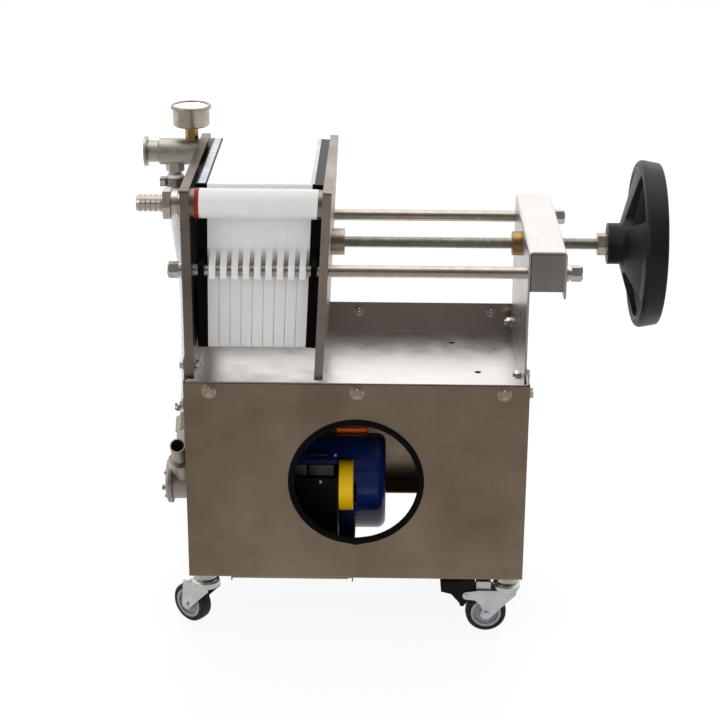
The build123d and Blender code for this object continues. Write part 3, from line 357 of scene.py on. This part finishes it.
phenolic = moulded("blackPhenolic", ("#121418", "#1a1d23"), 0.6, 0.03, (0.36, 0.46), 1.2, Specular_IOR_Level=0.25)
whitePolypropylene = moulded("whitePolypropylene", ("#e8e7e6", "#eeedec"), 1.2, 0.02, (0.34, 0.46), 0.3)
yellowAbs = moulded("yellowAbs", ("#ffc400", "#ffd21e"), 0.5, 0.01, (0.28, 0.38), Specular_IOR_Level=0.3)
redSilicone = moulded("redSilicone", ("#7e140d", "#962016"), 0.8, 0.02, (0.4, 0.5), Specular_IOR_Level=0.3)
whiteHose = moulded("ribbedWhitePvc", ("#dfe2e5", "#eff1f3"), 1.0, 0.01, (0.3, 0.42), 0.2,
                    Subsurface_Weight=0.2, Subsurface_Scale=0.004)
blackTrim = moulded("blackEpdmTrim", ("#060607", "#0b0b0d"), 0.5, 0.04, (0.42, 0.56), Specular_IOR_Level=0.05)
treadRubber = moulded("blackTreadRubber", ("#111113", "#1a1a1d"), 0.6, 0.05, (0.5, 0.64), Specular_IOR_Level=0.3)
greyNylon = moulded("greyNylonHub", ("#8d9198", "#a3a7ad"), 0.8, 0.02, (0.36, 0.48))
dialEnamel = moulded("whiteDialEnamel", ("#e6e6e3", "#f0f0ee"), 0.6, 0.004, (0.3, 0.4), 0.1)
dialInk = moulded("blackDialInk", ("#141416", "#1c1c1f"), 0.6, 0.004, (0.4, 0.5), 0.05)
# painted reflection: a pale bluish band for the white surroundings seen in the boards' glossy tops
paintedBoardReflection = moulded("paintedReflectionOnAcetal", ("#b9bdc9", "#cdd1dc"), 0.8, 0.006, (0.2, 0.3), 0.2)
clearLens = moulded("clearAcrylicLens", ("#fbfbfb", "#ffffff"), 2.0, 0.002, (0.02, 0.05), 0.3, Transmission_Weight=1.0)

finishes = {
    "front_panel": panelStainless, "back_panel": panelStainless, "left_panel": sideStainless,
    "right_panel": sideStainless, "drip_pan": panStainless, "opening_trim": blackTrim,
    "motor_shelf": panelStainless, "motor_body": motorEnamel, "motor_adapter": blackAbs,
    "motor_foot": blackAbs, "switch_box": blackAbs, "switch_guard": yellowAbs, "switch_knob": blackAbs,
    "pump_body": castPump, "pump_cover": castPump, "feed_hose": whiteHose, "hose_clamps": wornClamp,
    "inlet_tee": castStainless, "gauge_stem": turnedBrass, "gauge_case": spunCase,
    "outlet_barb": turnedStainless, "fixed_end_plate": uprightStainless, "tie_rod_front": drawnStainless,
    "tie_rod_back": drawnStainless, "tie_rod_bolts": nickelNut, "crossbeam": beamStainless,
    "beam_covers": coverStainless, "screw_nut": turnedBrass, "head_board": blackBoard,
    "port_gasket": redSilicone, "pressure_plate": plateStainless, "tail_board": blackBoard,
    "thrust_boss": turnedBoss, "spindle": rolledThread, "lock_nut": champagneNut, "handwheel": phenolic,
    "caster_stems": nickelNut, "filter_plate": whitePolypropylene, "caster_fork": zincPlate,
    "caster_tyre": treadRubber, "caster_hub": greyNylon, "brake_pedal": blackAbs,
}
for nodeName, nodeObject in nodes.items():
    finish = finishes.get(nodeName) or finishes[nodeName.rsplit("_", 1)[0]]
    if not nodeObject.material_slots:
        nodeObject.data.materials.append(finish)
    for materialSlot in nodeObject.material_slots:
        materialSlot.material = finish
print("finishes given to", len(nodes), "nodes")


# Where the bolts sit: along the front panel and back wall in x, on the beam's legs and the end plate's ears in y
boltPlaces = {"panel": (30, 201, 371), "wall": (30, 198, 369), "leg": (22.5, 80.0, 264.5), "ear": (24.5, 262.5),
              "panelHigh": rim - 11, "wallHigh": rim - 12, "legHigh": rim - 18.3, "earHigh": rim + 13}


# One row of fasteners: heads, or nuts whose bolt ends stand out
def makeFasteners(name, places, axis, finish, end=0.0):
    grids = [nutAndEnd(place, axis, end) if end else flangeHead(place, axis) for place in places]
    makePiece(name, grids, finish, "press")


# Places (x, y, high) of a row along a wall, and of a row across an end
def alongWall(row, y):
    return [(x, y, boltPlaces[row + "High"]) for x in boltPlaces[row]]


def acrossEnd(row, x):
    return [(x, y, boltPlaces[row + "High"]) for y in boltPlaces[row]]


makeFasteners("panel_bolts", alongWall("panel", 0.0), "-y", panelBolt)
makeFasteners("panel_nuts", alongWall("panel", 3.0), "y", nickelNut, 3.2)
makeFasteners("back_wall_bolts", alongWall("wall", 287.0), "y", nickelNut)
makeFasteners("back_wall_nuts", alongWall("wall", 284.0), "-y", nickelNut, 4.4)
makeFasteners("leg_bolts", acrossEnd("leg", 400.0), "x", nickelNut)
makeFasteners("leg_nuts", acrossEnd("leg", 394.5), "-x", nickelNut, 3.2)
makeFasteners("ear_bolts", acrossEnd("ear", 0.0), "-x", nickelNut)
makeFasteners("ear_nuts", acrossEnd("ear", 12.0), "x", nickelNut, 2.0)
print("fasteners made")


# Feed hose: a ribbed tube along the same route as its plain solid

hose = {"route": [(-18.7, 199.92, 208.90), (-18.7, 226.16, 239.09), (-18.7, 252.0, 369.0), (-28.0, 258.0, 434.0),
                  (-32.0, 258.0, 487.0), (-32.0, 258.0, 511.0)],
        "radius": 11.0, "ribDepth": 1.3, "ribPitch": 5.0, "bore": 8.0, "perRib": 8}


# The route's NURBS curve read as points, one straight list from exit to end
def curvePoints(name, route, perSpan=48):
    curve = bpy.data.curves.new(name, "CURVE")
    curve.dimensions = "3D"
    curve.resolution_u = perSpan
    spline = curve.splines.new("NURBS")
    spline.points.add(len(route) - 1)
    spline.points.foreach_set("co", np.column_stack([station(route), np.ones(len(route))]).ravel())
    spline.order_u = 3
    spline.use_endpoint_u = True
    holder = bpy.data.objects.new(name, curve)
    scene.collection.objects.link(holder)
    mesh = bpy.data.meshes.new_from_object(holder)
    points = np.empty(len(mesh.vertices) * 3)
    mesh.vertices.foreach_get("co", points)
    bpy.data.objects.remove(holder)
    bpy.data.curves.remove(curve)
    bpy.data.meshes.remove(mesh)
    return points.reshape(-1, 3)


# Ribbed tube: at length s the radius is R - depth * (1 - cos(2 pi s / pitch))^2 / 4, round a frame across the line
def makeHose():
    line = curvePoints("hose_route", hose["route"])
    runs = np.linalg.norm(np.diff(line, axis=0), axis=1)
    reach = np.concatenate([[0], np.cumsum(runs)])
    total = reach[-1]
    count = int(total / mm / hose["ribPitch"] * hose["perRib"])
    s = np.linspace(0, total, count)
    centre = np.column_stack([np.interp(s, reach, line[:, k]) for k in range(3)])
    ahead = np.gradient(centre, axis=0)
    ahead /= np.linalg.norm(ahead, axis=1, keepdims=True)
    side = np.cross(ahead, (1.0, 0.0, 0.0))
    side /= np.linalg.norm(side, axis=1, keepdims=True)
    up = np.cross(ahead, side)
    phase = 2 * np.pi * s / mm / hose["ribPitch"]
    radius = (hose["radius"] - hose["ribDepth"] * (1 - np.cos(phase)) ** 2 / 4) * mm
    inner = np.append(np.arange(count - 1, 0, -hose["perRib"]), 0)
    order = np.concatenate([np.arange(count), inner, [0]])
    radius = np.concatenate([radius, np.full(len(inner), hose["bore"] * mm), radius[:1]])
    angle = np.arange(32) * 2 * np.pi / 32
    outward = np.cos(angle)[:, None] * side[order, None] + np.sin(angle)[:, None] * up[order, None]
    grid = millimetres(centre[order, None] + radius[:, None, None] * outward)
    piece = makePiece("ribbed_feed_hose", [grid], whiteHose, "press", 80)
    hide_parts("feed_hose")
    return line


hoseLine = millimetres(makeHose())
print("hose made")


# Worm screws of the two hose clamps, each on the left of its band
clampScrew = {"head": 3.4, "rise": 3.0, "stem": 2.2, "back": -9.0, "front": 5.0, "offset": 15.0, "inset": 10.0}


# A stem and a hexagon head turned round the line across the hose: inward x left
def makeClampScrews():
    grids = []
    for end, inward in ((hoseLine[0], hoseLine[1] - hoseLine[0]), (hoseLine[-1], hoseLine[-2] - hoseLine[-1])):
        inward = inward / np.linalg.norm(inward)
        across = np.cross(inward, (1.0, 0.0, 0.0))
        across /= np.linalg.norm(across)
        centre = end + clampScrew["inset"] * inward - np.array((clampScrew["offset"], 0, 0))
        head, rise, stem, back, front = [clampScrew[key] for key in ("head", "rise", "stem", "back", "front")]
        rows = [(back, 0), (back, stem), (front, stem), (front, head, head * 1.155),
                (front + rise, head, head * 1.155), (front + rise + 0.5, head - 0.6, head), (front + rise + 0.5, 0)]
        grids.append(turned(rows, (across, np.cross(across, inward), inward), centre, 24))
    makePiece("clamp_screws", grids, nickelNut, "press")


makeClampScrews()


# Clamping screw: r = bar - depth * (1 - crest), where the crest is a trapezium, flank * |2 p - 1| - root cut to 0..1,
# of the phase p = x / pitch - a / 2 pi along the bar
thread = {"pitch": 2.0, "depth": 1.05, "flank": 2.6, "root": 0.8, "perPitch": 6, "around": 24, "chamfer": 1.2}


def makeSpindle():
    low, high = millimetres(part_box("spindle"))
    axisY, axisZ, bar = (low[1] + high[1]) / 2, (low[2] + high[2]) / 2, (high[2] - low[2]) / 2
    x = np.arange(low[0], high[0], thread["pitch"] / thread["perPitch"])
    x[-1] = high[0]
    angle = np.arange(thread["around"]) * 2 * np.pi / thread["around"]
    phase = (x[:, None] / thread["pitch"] - angle / (2 * np.pi)) % 1
    crest = np.clip(thread["flank"] * np.abs(2 * phase - 1) - thread["root"], 0, 1)
    endCut = np.minimum(x - low[0], high[0] - x)[:, None]
    radius = np.minimum(bar - thread["depth"] * (1 - crest), bar - thread["chamfer"] + endCut)
    ring = np.stack([np.broadcast_to(x[:, None], radius.shape), axisY + radius * np.cos(angle),
                     axisZ + radius * np.sin(angle)], axis=-1)
    ends = [np.broadcast_to([at, axisY, axisZ], (1, thread["around"], 3)) for at in (low[0], high[0])]
    piece = makePiece("threaded_screw", [np.concatenate([ends[0], ring, ends[1]])], rolledThread, "screw",
                      50)
    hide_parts("spindle")


makeSpindle()
print("screw made")


# Pressure gauge: white dial, ticks, figures, pointer and a lens, facing up

gauge = {"bezelIn": 20.9, "bezelOut": 25.0, "bezelHigh": 4.0, "face": 21.0, "dialDrop": 1.9, "lensDrop": 1.1,
         "zero": 225.0, "sweep": 270.0, "reading": 0.0, "pointer": 14.5, "tail": 5.0, "ticks": 31, "tickOut": 19.0,
         "tickIn": 16.4, "minorIn": 17.6, "perFigure": 5, "figures": 6, "figureSize": 4.4, "figureRadius": 11.6,
         "tickWide": (0.34, 0.2), "tickRise": 0.3, "figureRise": 0.32, "pointerRise": 0.7, "capRise": 0.4}


# A flat strip on the dial: a rectangle from radius r0 to r1 at an angle, turned by (cos a, sin a)
def dialStrip(centre, angle, fromRadius, toRadius, width, rise):
    along = np.array((math.cos(angle), math.sin(angle), 0.0))
    across = np.array((-along[1], along[0], 0.0))
    middle, half = centre + along * (fromRadius + toRadius) / 2, (toRadius - fromRadius) / 2
    rows = [(-half, 0), (-half, width), (half, width), (half, 0)]
    return turned(rows, (along, across, np.array((0, 0, rise / width))), middle, 4)


# Bezel ring, dial, ticks at zero - sweep * share, pointer, lens and figures, each stacked on the dial's floor
def makeGauge():
    low, high = millimetres(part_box("gauge_case"))
    centre = np.array(((low[0] + high[0]) / 2, (low[1] + high[1]) / 2, high[2]))
    floor = centre - (0, 0, gauge["dialDrop"])
    face = gauge["face"]
    dial = turned([(0, 0), (0, face - 0.4), (0.25, face - 0.5), (0.25, 0)], "z", floor, 64)
    inner, outer, tall = gauge["bezelIn"], gauge["bezelOut"], gauge["bezelHigh"]
    lip = [(-tall, inner), (-tall, outer - 0.6), (-tall + 0.6, outer), (-0.9, outer), (-0.25, outer - 0.4),
           (0.1, outer - 1.2), (0.1, inner + 0.9), (-0.3, inner + 0.2), (-1.0, inner)]
    makePiece("gauge_bezel", [ringSolid(lip, "z", centre, 96)], rolledBezel, "press", 50)
    makePiece("gauge_dial", [dial], dialEnamel, "press")
    share = np.linspace(0, 1, gauge["ticks"])
    angles = np.radians(gauge["zero"] - gauge["sweep"] * share)
    marks = []
    for number, angle in enumerate(angles):
        major = number % gauge["perFigure"] == 0
        inner = gauge["tickIn"] if major else gauge["minorIn"]
        wide = gauge["tickWide"][0 if major else 1]
        marks.append(dialStrip(floor + (0, 0, gauge["tickRise"]), angle, inner, gauge["tickOut"], wide, 0.08))
    makePiece("gauge_ticks", marks, dialInk, "press")
    angle = math.radians(gauge["zero"] - gauge["sweep"] * gauge["reading"])
    needle = dialStrip(floor + (0, 0, gauge["pointerRise"]), angle, -gauge["tail"], gauge["pointer"], 0.42, 0.12)
    cap = turned([(0, 0), (0, 2.2), (0.7, 2.0), (0.9, 0)], "z", floor + (0, 0, gauge["capRise"]), 32)
    makePiece("gauge_pointer", [needle, cap], dialInk, "press")
    lens = turned([(0, 0), (0, face - 0.1), (0.2, face - 0.1), (0.35, face * 0.6), (0.4, 0)], "z",
                  centre - (0, 0, gauge["lensDrop"]), 64)
    makePiece("gauge_lens", [lens], clearLens, "press")
    figureMeshes = []
    for number in range(gauge["figures"] + 1):
        angle = math.radians(gauge["zero"] - gauge["sweep"] * number / gauge["figures"])
        data = bpy.data.curves.new("figure", "FONT")
        data.body, data.size = str(number), gauge["figureSize"] * mm
        data.align_x, data.align_y, data.extrude = "CENTER", "CENTER", 0.00004
        holder = bpy.data.objects.new("figure", data)
        scene.collection.objects.link(holder)
        mesh = bpy.data.meshes.new_from_object(holder)
        bpy.data.objects.remove(holder)
        along = np.array((math.cos(angle), math.sin(angle), 0.0))
        spot = station(floor + gauge["figureRadius"] * along + (0, 0, gauge["figureRise"]))
        mesh.transform(Matrix.Translation(spot))
        figureMeshes.append(mesh)
    joined = bmesh.new()
    for mesh in figureMeshes:
        joined.from_mesh(mesh)
    figures = bpy.data.meshes.new("gauge_figures")
    joined.to_mesh(figures)
    joined.free()
    finishPiece("gauge_figures", figures, dialInk, "press")


makeGauge()
print("gauge made")


# Motor shell: r = R - depth * |sin(n a)| between the fins' ends, and a rounded right end; a plain orange lid on top

motor = {"fins": 22, "finDepth": 0.35, "endRound": 11.0, "finFrom": 78.0, "finTo": 208.0, "blend": 8.0, "grow": 1.5,
         "rows": 40, "around": 264, "lid": ((172.0, 159.0, 196.0), (212.0, 190.0, 209.0)), "lidRound": 2.0}


def makeMotor():
    low, high = millimetres(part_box("motor_body"))
    axisY, axisZ, radius = (low[1] + high[1]) / 2, (low[2] + high[2]) / 2 + motor["grow"], (high[2] - low[2]) / 2
    radius += motor["grow"]
    bend = np.linspace(0, np.pi / 2, 9)
    endX = high[0] - motor["endRound"] * (1 - np.sin(bend))
    endR = radius - motor["endRound"] * (1 - np.cos(bend))
    plainX = np.linspace(low[0], high[0] - motor["endRound"], motor["rows"])
    x = np.concatenate([[low[0]], plainX, endX[1:], [high[0]]])
    r = np.concatenate([[0], np.full(motor["rows"], radius), endR[1:], [0]])
    angle = np.arange(motor["around"]) * 2 * np.pi / motor["around"]
    near = np.clip(np.minimum(x - motor["finFrom"], motor["finTo"] - x) / motor["blend"], 0, 1)
    depth = motor["finDepth"] * (near * near * (3 - 2 * near))[:, None] * np.abs(np.sin(angle * motor["fins"]))
    across = r[:, None] - depth
    grid = np.stack([np.broadcast_to(x[:, None], across.shape), axisY + across * np.cos(angle),
                     axisZ + across * np.sin(angle)], axis=-1)
    piece = makePiece("motor_shell", [grid], motorEnamel, "press")
    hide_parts("motor_body")
    lid = roundedBlock(*motor["lid"], motor["lidRound"], "z")
    makePiece("motor_lid", [lid], orangeCover, "press")


makeMotor()


# Straps, rail and screws of the switch box
switch = {"straps": [((120.0, 59.2, 190.0), (139.5, 60.2, 204.0)), ((142.0, 59.2, 190.0), (172.0, 60.2, 204.0))],
          "rail": ((136.0, 67.0, 213.0), (164.5, 72.0, 214.2)),
          "screws": [((155.2, 60.0, 181.0), 3.1), ((173.0, 80.0, 208.0), 2.6)]}


# Rounded bars, and domed heads turned round y
def makeSwitchTrim():
    bars = [roundedBlock(low, high, 0.45, "y") for low, high in switch["straps"]]
    bars.append(roundedBlock(*switch["rail"], 0.5, "z"))
    makePiece("switch_straps", bars, darkZinc, "press")
    heads = [turned([(-3, 0), (-3, r * 0.5), (0, r * 0.5), (0, r), (0.8, r * 0.95), (1.8, r * 0.6), (2.1, 0)], "-y",
                    place, 24) for place, r in switch["screws"]]
    makePiece("switch_screws", heads, nickelNut, "press")


makeSwitchTrim()
print("motor and switch made")


# Opening trim: a soft-cornered section (b cos^0.7 t, c sin^0.7 t) round the opening, swollen where its ends join, at
# the bottom, by bulge * exp(-(angle / width)^2)

trim = {"along": 3.75, "radial": 3.7, "power": 0.7, "sunk": 0.2, "section": 20, "around": 144,
        "bulge": 1.6, "bulgeAngle": 0.06, "inward": 0.3, "bottom": 1.5}


def makeTrim():
    low, high = millimetres(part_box("opening_trim"))
    centre = (low + high) / 2
    middleRadius = (high[0] - low[0]) / 2 - trim["radial"] + trim["sunk"]
    turn = np.arange(trim["section"]) * 2 * np.pi / trim["section"]
    along = trim["along"] * np.sign(np.cos(turn)) * np.abs(np.cos(turn)) ** trim["power"]
    across = trim["radial"] * np.sign(np.sin(turn)) * np.abs(np.sin(turn)) ** trim["power"]
    angle = np.arange(trim["around"]) * 2 * np.pi / trim["around"]
    fromBottom = (angle - trim["bottom"] * np.pi + np.pi) % (2 * np.pi) - np.pi
    bulge = trim["bulge"] * np.exp(-(fromBottom / trim["bulgeAngle"]) ** 2)
    radius = middleRadius + across[:, None] + np.where(across[:, None] > 0, 1, trim["inward"]) * bulge
    grid = np.stack([centre[0] + radius * np.cos(angle), centre[1] + np.broadcast_to(along[:, None], radius.shape),
                     centre[2] + radius * np.sin(angle)], axis=-1)
    piece = makePiece("rubber_edge_trim", [np.concatenate([grid, grid[:1]])], blackTrim, "press", 60)
    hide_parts("opening_trim")


makeTrim()
print("trim made")


# Boards: a pale band of painted reflection along the top of each, lighter than its black faces
boardTopReflection = {"side": 2.0, "end": 2.5, "proud": 0.25, "sunk": 0.8, "topShare": 0.6, "round": 0.2}


# Painted reflection over a board's highest points, drawn in from their box
def makeBoardBand(board, body):
    points = np.empty(len(nodes[board].data.vertices) * 3)
    nodes[board].data.vertices.foreach_get("co", points)
    points = millimetres(points.reshape(-1, 3))
    top = points[points[:, 2] > points[:, 2].max() - boardTopReflection["topShare"]]
    inset = np.array((boardTopReflection["side"], boardTopReflection["end"], 0))
    low, high = top.min(axis=0) + inset, top.max(axis=0) - inset
    grid = roundedBlock((*low[:2], high[2] - boardTopReflection["sunk"]), (*high[:2], high[2] + boardTopReflection["proud"]),
                        boardTopReflection["round"], "y")
    makePiece(f"{board}_painted_reflection", [grid], paintedBoardReflection, body)


makeBoardBand("head_board", "press")
makeBoardBand("tail_board", "pressure_plate")


# Beam covers: painted shadow of the gap between each cover and the folded sheet, black strips along its upper and left
# edges
gapShadowStrip = {"left": 397.0, "low": 440.5, "right": 436.0, "top": 485.0, "wide": 0.9, "fronts": (22.85, 263.55),
            "deep": 0.6}


# An upright strip and a level one of painted shadow before each cover
def makeCoverGaps():
    left, low, right, top, wide = [gapShadowStrip[key] for key in ("left", "low", "right", "top", "wide")]
    grids = []
    for front in gapShadowStrip["fronts"]:
        back = front + gapShadowStrip["deep"]
        grids.append(roundedBlock((left, front, low), (left + wide, back, top), 0.1, "z"))
        grids.append(roundedBlock((left, front, top - wide), (right, back, top), 0.1, "x"))
    # the black trim here is painted shadow, standing for the shade inside the gaps
    makePiece("cover_gap_shadows", grids, blackTrim, "press")


makeCoverGaps()


# Motor shelf: its folded front lip, a thin line under the front panel
shelfLip = ((50.0, 4.0, 78.6), (191.0, 5.5, 82.5))
makePiece("shelf_lip", [roundedBlock(*shelfLip, 0.5, "x")], panelStainless, "press")
print("boards, beam covers and shelf trimmed")


# Pump: cover screws round the rim; casters: rivet heads on both ends of each axle

pumpTrim = {"screwCircle": 22.5, "screwCount": 4, "headRadius": 2.6, "inset": 8.0, "firstAngle": 45}
rivet = {"radius": 4.6, "rise": 1.4, "reach": 12.3}


# Domed heads with a hexagon socket, on a circle round the shaft
def makePumpScrews():
    low, high = millimetres(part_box("pump_cover"))
    axisY, axisZ = (low[1] + high[1]) / 2, (low[2] + high[2]) / 2
    left, circle, r = high[0] - pumpTrim["inset"], pumpTrim["screwCircle"], pumpTrim["headRadius"]
    grids = []
    for number in range(pumpTrim["screwCount"]):
        angle = math.radians(pumpTrim["firstAngle"] + 360 * number / pumpTrim["screwCount"])
        spot = (left, axisY + circle * math.cos(angle), axisZ + circle * math.sin(angle))
        rows = [(-0.5, 0), (-0.5, r), (1.6, r), (2.0, r - 0.4), (2.0, 1.4, 1.6), (0.9, 1.4, 1.6), (0.9, 0)]
        grids.append(turned(rows, "-x", spot, 24))
    makePiece("pump_cover_screws", grids, turnedStainless, "press")


# Rivet heads at both ends of a caster's axle: a ring, a dip and a small dome
def makeCasterRivets():
    for number in (1, 2, 3, 4):
        axle = millimetres(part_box(f"caster_hub_{number}")).mean(axis=0)
        joint = next(j for j in frame["joints"] if j["name"] == f"wheel_spin_{number}")
        direction = np.array(joint["axis"], float)
        direction /= np.linalg.norm(direction)
        flat = np.cross(direction, (0, 0, 1.0))
        r, rise = rivet["radius"], rivet["rise"]
        rows = [(0, 0), (0, r), (rise * 0.6, r), (rise, r - 0.7), (rise, r - 1.4), (rise * 0.6, r - 1.9),
                (rise * 0.6, 1.8), (rise + 0.3, 1.2), (rise + 0.4, 0)]
        ends = [turned(rows, (side * direction, flat, np.array((0, 0, 1.0))),
                       axle + side * rivet["reach"] * direction, 32) for side in (-1, 1)]
        makePiece(f"axle_rivets_{number}", ends, zincPlate, f"caster_{number}")


makePumpScrews()
makeCasterRivets()
print("pump and caster rivets made")


# Handwheel: small plugs where the spokes meet the rim
wheelPlugs = {"circle": 85.4, "spread": 30.0, "radius": 1.5, "station": 532.2, "spokes": (60, 180, 300)}


# Small round plugs at spoke angle - spread and + spread on one circle
def makeWheelPlugs():
    low, high = millimetres(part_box("handwheel"))
    axisY, axisZ = (low[1] + high[1]) / 2, (low[2] + high[2]) / 2
    circle, r = wheelPlugs["circle"], wheelPlugs["radius"]
    grids = []
    for spoke in wheelPlugs["spokes"]:
        for side in (-1, 1):
            angle = math.radians(spoke + side * wheelPlugs["spread"])
            spot = (wheelPlugs["station"], axisY + circle * math.cos(angle), axisZ + circle * math.sin(angle))
            grids.append(turned([(-2, 0), (-2, r), (0, r), (0.3, r - 0.4), (0.3, 0)], "-x", spot, 16))
    makePiece("wheel_plugs", grids, blackAbs, "screw")


makeWheelPlugs()


# Filter plates and handwheel: copies of the nodes, the plates' edges softly rounded as moulded ones are

copies = {"plateEdge": 0.12, "segments": 2, "sharpest": 40, "plateSpread": 0.0555, "wheelShare": 0.985,
          "wheelRise": 0.8}


# A merged copy of a node with its points reshaped; with a width, its flat faces dissolved and its edges bevelled
def softenedCopy(node, name, material, body, reshape, width=0.0):
    mesh = nodes[node].data.copy()
    mesh.name = name
    mesh.materials.clear()
    points = np.empty(len(mesh.vertices) * 3)
    mesh.vertices.foreach_get("co", points)
    mesh.vertices.foreach_set("co", reshape(points.reshape(-1, 3)).ravel())
    work = bmesh.new()
    work.from_mesh(mesh)
    bmesh.ops.remove_doubles(work, verts=work.verts, dist=1e-6)
    if width:
        bmesh.ops.dissolve_limit(work, angle_limit=math.radians(1), verts=work.verts, edges=work.edges)
    work.to_mesh(mesh)
    work.free()
    piece = finishPiece(name, mesh, material, body)
    if width:
        bevel = piece.modifiers.new("soft edges", "BEVEL")
        bevel.width, bevel.segments = width * mm, copies["segments"]
        bevel.limit_method, bevel.angle_limit = "ANGLE", math.radians(copies["sharpest"])
    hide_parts(node)


# Plates pressed face to face: x' = x + (x - lean(z)) * spread, lean(z) the straight line that fits the plate's points
def pressTogether(points):
    lean = np.polyval(np.polyfit(points[:, 2], points[:, 0], 1), points[:, 2])
    points[:, 0] += (points[:, 0] - lean) * copies["plateSpread"]
    return points


# The wheel drawn in round its axis and raised a little: centre + (point - centre) * share + rise
def drawIn(points):
    centre = (points[:, 1:].max(axis=0) + points[:, 1:].min(axis=0)) / 2
    points[:, 1:] = centre + (points[:, 1:] - centre) * copies["wheelShare"] + (0, copies["wheelRise"] * mm)
    return points


for plateNumber in range(1, 10):
    softenedCopy(f"filter_plate_{plateNumber}", f"moulded_plate_{plateNumber}", whitePolypropylene, "press",
                 pressTogether, copies["plateEdge"])
softenedCopy("handwheel", "moulded_handwheel", phenolic, "screw", drawIn)
print("plates and handwheel copied")


# Studio: a pale floor and soft lamps

studio = {"floorSize": 24.0, "floorColour": "#f4f4f4", "floorGlow": 0.9, "floorShade": 0.12, "world": 0.62,
          "sweepColour": (1, 0.98, 0.96, 1), "dimRoom": 0.15, "litSweep": 1.25, "roomSweep": (-0.9, 0.3),
          "dimFloor": 0.52, "floorSweep": (-0.6, 0.5), "white": (1, 1, 1, 1)}
# Each lamp: place, the point it looks at, size, power, seen in gloss or not, and spread in degrees
lamps = {"lampTop": ((0.2, 0.3, 2.4), (0, 0, 0.3), (2.2, 2.2), 14.0, True, 180),
         "lampBack": ((0, 3.6, 1.9), (0, 0, 0.3), (4.0, 1.8), 120.0, False, 180),
         "lampLeft": ((-2.2, -1.6, 1.6), (0, 0, 0.3), (1.2, 1.2), 10.0, True, 180),
         "lampOpening": ((0.12, -1.4, 0.2), (-0.03, 0, 0.16), (0.25, 0.25), 0.06, False, 14)}


# One soft lamp that looks at a point and isn't seen by the camera
def softLamp(name, place, target, size, power, mirrored, spread):
    data = bpy.data.lights.new(name, "AREA")
    data.shape = "RECTANGLE"
    data.size, data.size_y = size
    data.energy = power
    data.spread = math.radians(spread)
    holder = bpy.data.objects.new(name, data)
    holder.location = place
    holder.rotation_euler = (Vector(target) - Vector(place)).to_track_quat("-Z", "Y").to_euler()
    holder.visible_camera = False
    holder.visible_glossy = mirrored
    scene.collection.objects.link(holder)


# Camera and transmission rays see the white, glossy ones the sweep as lit; every other ray sees the plain shade
def whiteWhereSeen(tree, plainShader, sweepShader, whiteShader, output):
    path = addNode(tree, "ShaderNodeLightPath")
    seen = addNode(tree, "ShaderNodeMath", {"operation": "MAXIMUM"},
                   {0: path.outputs["Is Camera Ray"], 1: path.outputs["Is Transmission Ray"]})
    gloss = addNode(tree, "ShaderNodeMixShader", {},
                    {0: path.outputs["Is Glossy Ray"], 1: plainShader, 2: sweepShader})
    mixed = addNode(tree, "ShaderNodeMixShader", {}, {0: seen.outputs[0], 1: gloss.outputs[0], 2: whiteShader})
    tree.links.new(mixed.outputs[0], output.inputs["Surface"])


# How bright the studio is along y: dim towards the front, white from the object back, as a smooth step between
def sweepBrightness(tree, coordinate, fromRange, dimmest, brightest=1.0):
    along = addNode(tree, "ShaderNodeSeparateXYZ", {}, {0: coordinate}).outputs["Y"]
    return addNode(tree, "ShaderNodeMapRange", {"interpolation_type": "SMOOTHSTEP"},
                   {"Value": along, "From Min": fromRange[0], "From Max": fromRange[1], "To Min": dimmest,
                    "To Max": brightest}).outputs["Result"]


# World, floor and lamps; to gloss the floor glows as the sweep does, and to the camera it is white with a faint shade
def makeStudio():
    world = bpy.data.worlds.new("studio")
    scene.world = world
    world.use_nodes = True
    tree = world.node_tree
    tree.nodes.clear()
    output = addNode(tree, "ShaderNodeOutputWorld")
    plain = addNode(tree, "ShaderNodeBackground", {}, {"Color": studio["white"], "Strength": studio["world"]})
    white = addNode(tree, "ShaderNodeBackground", {}, {"Color": studio["white"], "Strength": 1.0})
    towards = addNode(tree, "ShaderNodeTexCoord").outputs["Generated"]
    fall = sweepBrightness(tree, towards, studio["roomSweep"], studio["dimRoom"], studio["litSweep"])
    sweep = addNode(tree, "ShaderNodeBackground", {}, {"Color": studio["sweepColour"], "Strength": fall})
    whiteWhereSeen(tree, plain.outputs[0], sweep.outputs[0], white.outputs[0], output)

    half = studio["floorSize"] / 2
    mesh = bpy.data.meshes.new("floor")
    mesh.from_pydata([(-half, -half, 0), (half, -half, 0), (half, half, 0), (-half, half, 0)], [], [(0, 1, 2, 3)])
    floor = bpy.data.objects.new("floor", mesh)
    scene.collection.objects.link(floor)
    paper, tree, shader = startMaterial("matteWhitePaper", studio["floorColour"], 0.9)[:3]
    shade, glow = studio["floorShade"], studio["floorGlow"]
    dim = addNode(tree, "ShaderNodeBsdfDiffuse", {}, {"Color": (shade, shade, shade, 1)})
    light = addNode(tree, "ShaderNodeEmission", {}, {"Color": studio["white"], "Strength": glow})
    both = addNode(tree, "ShaderNodeAddShader", {}, {0: dim.outputs[0], 1: light.outputs[0]})
    place = addNode(tree, "ShaderNodeTexCoord").outputs["Object"]
    fall = sweepBrightness(tree, place, studio["floorSweep"], studio["dimFloor"])
    sweep = addNode(tree, "ShaderNodeEmission", {}, {"Color": studio["sweepColour"], "Strength": fall})
    whiteWhereSeen(tree, shader.outputs[0], sweep.outputs[0], both.outputs[0], tree.nodes["Material Output"])
    mesh.materials.append(paper)

    for name, settings in lamps.items():
        softLamp(name, *settings)


makeStudio()
print("studio ready")

scene.view_settings.view_transform = "Standard"
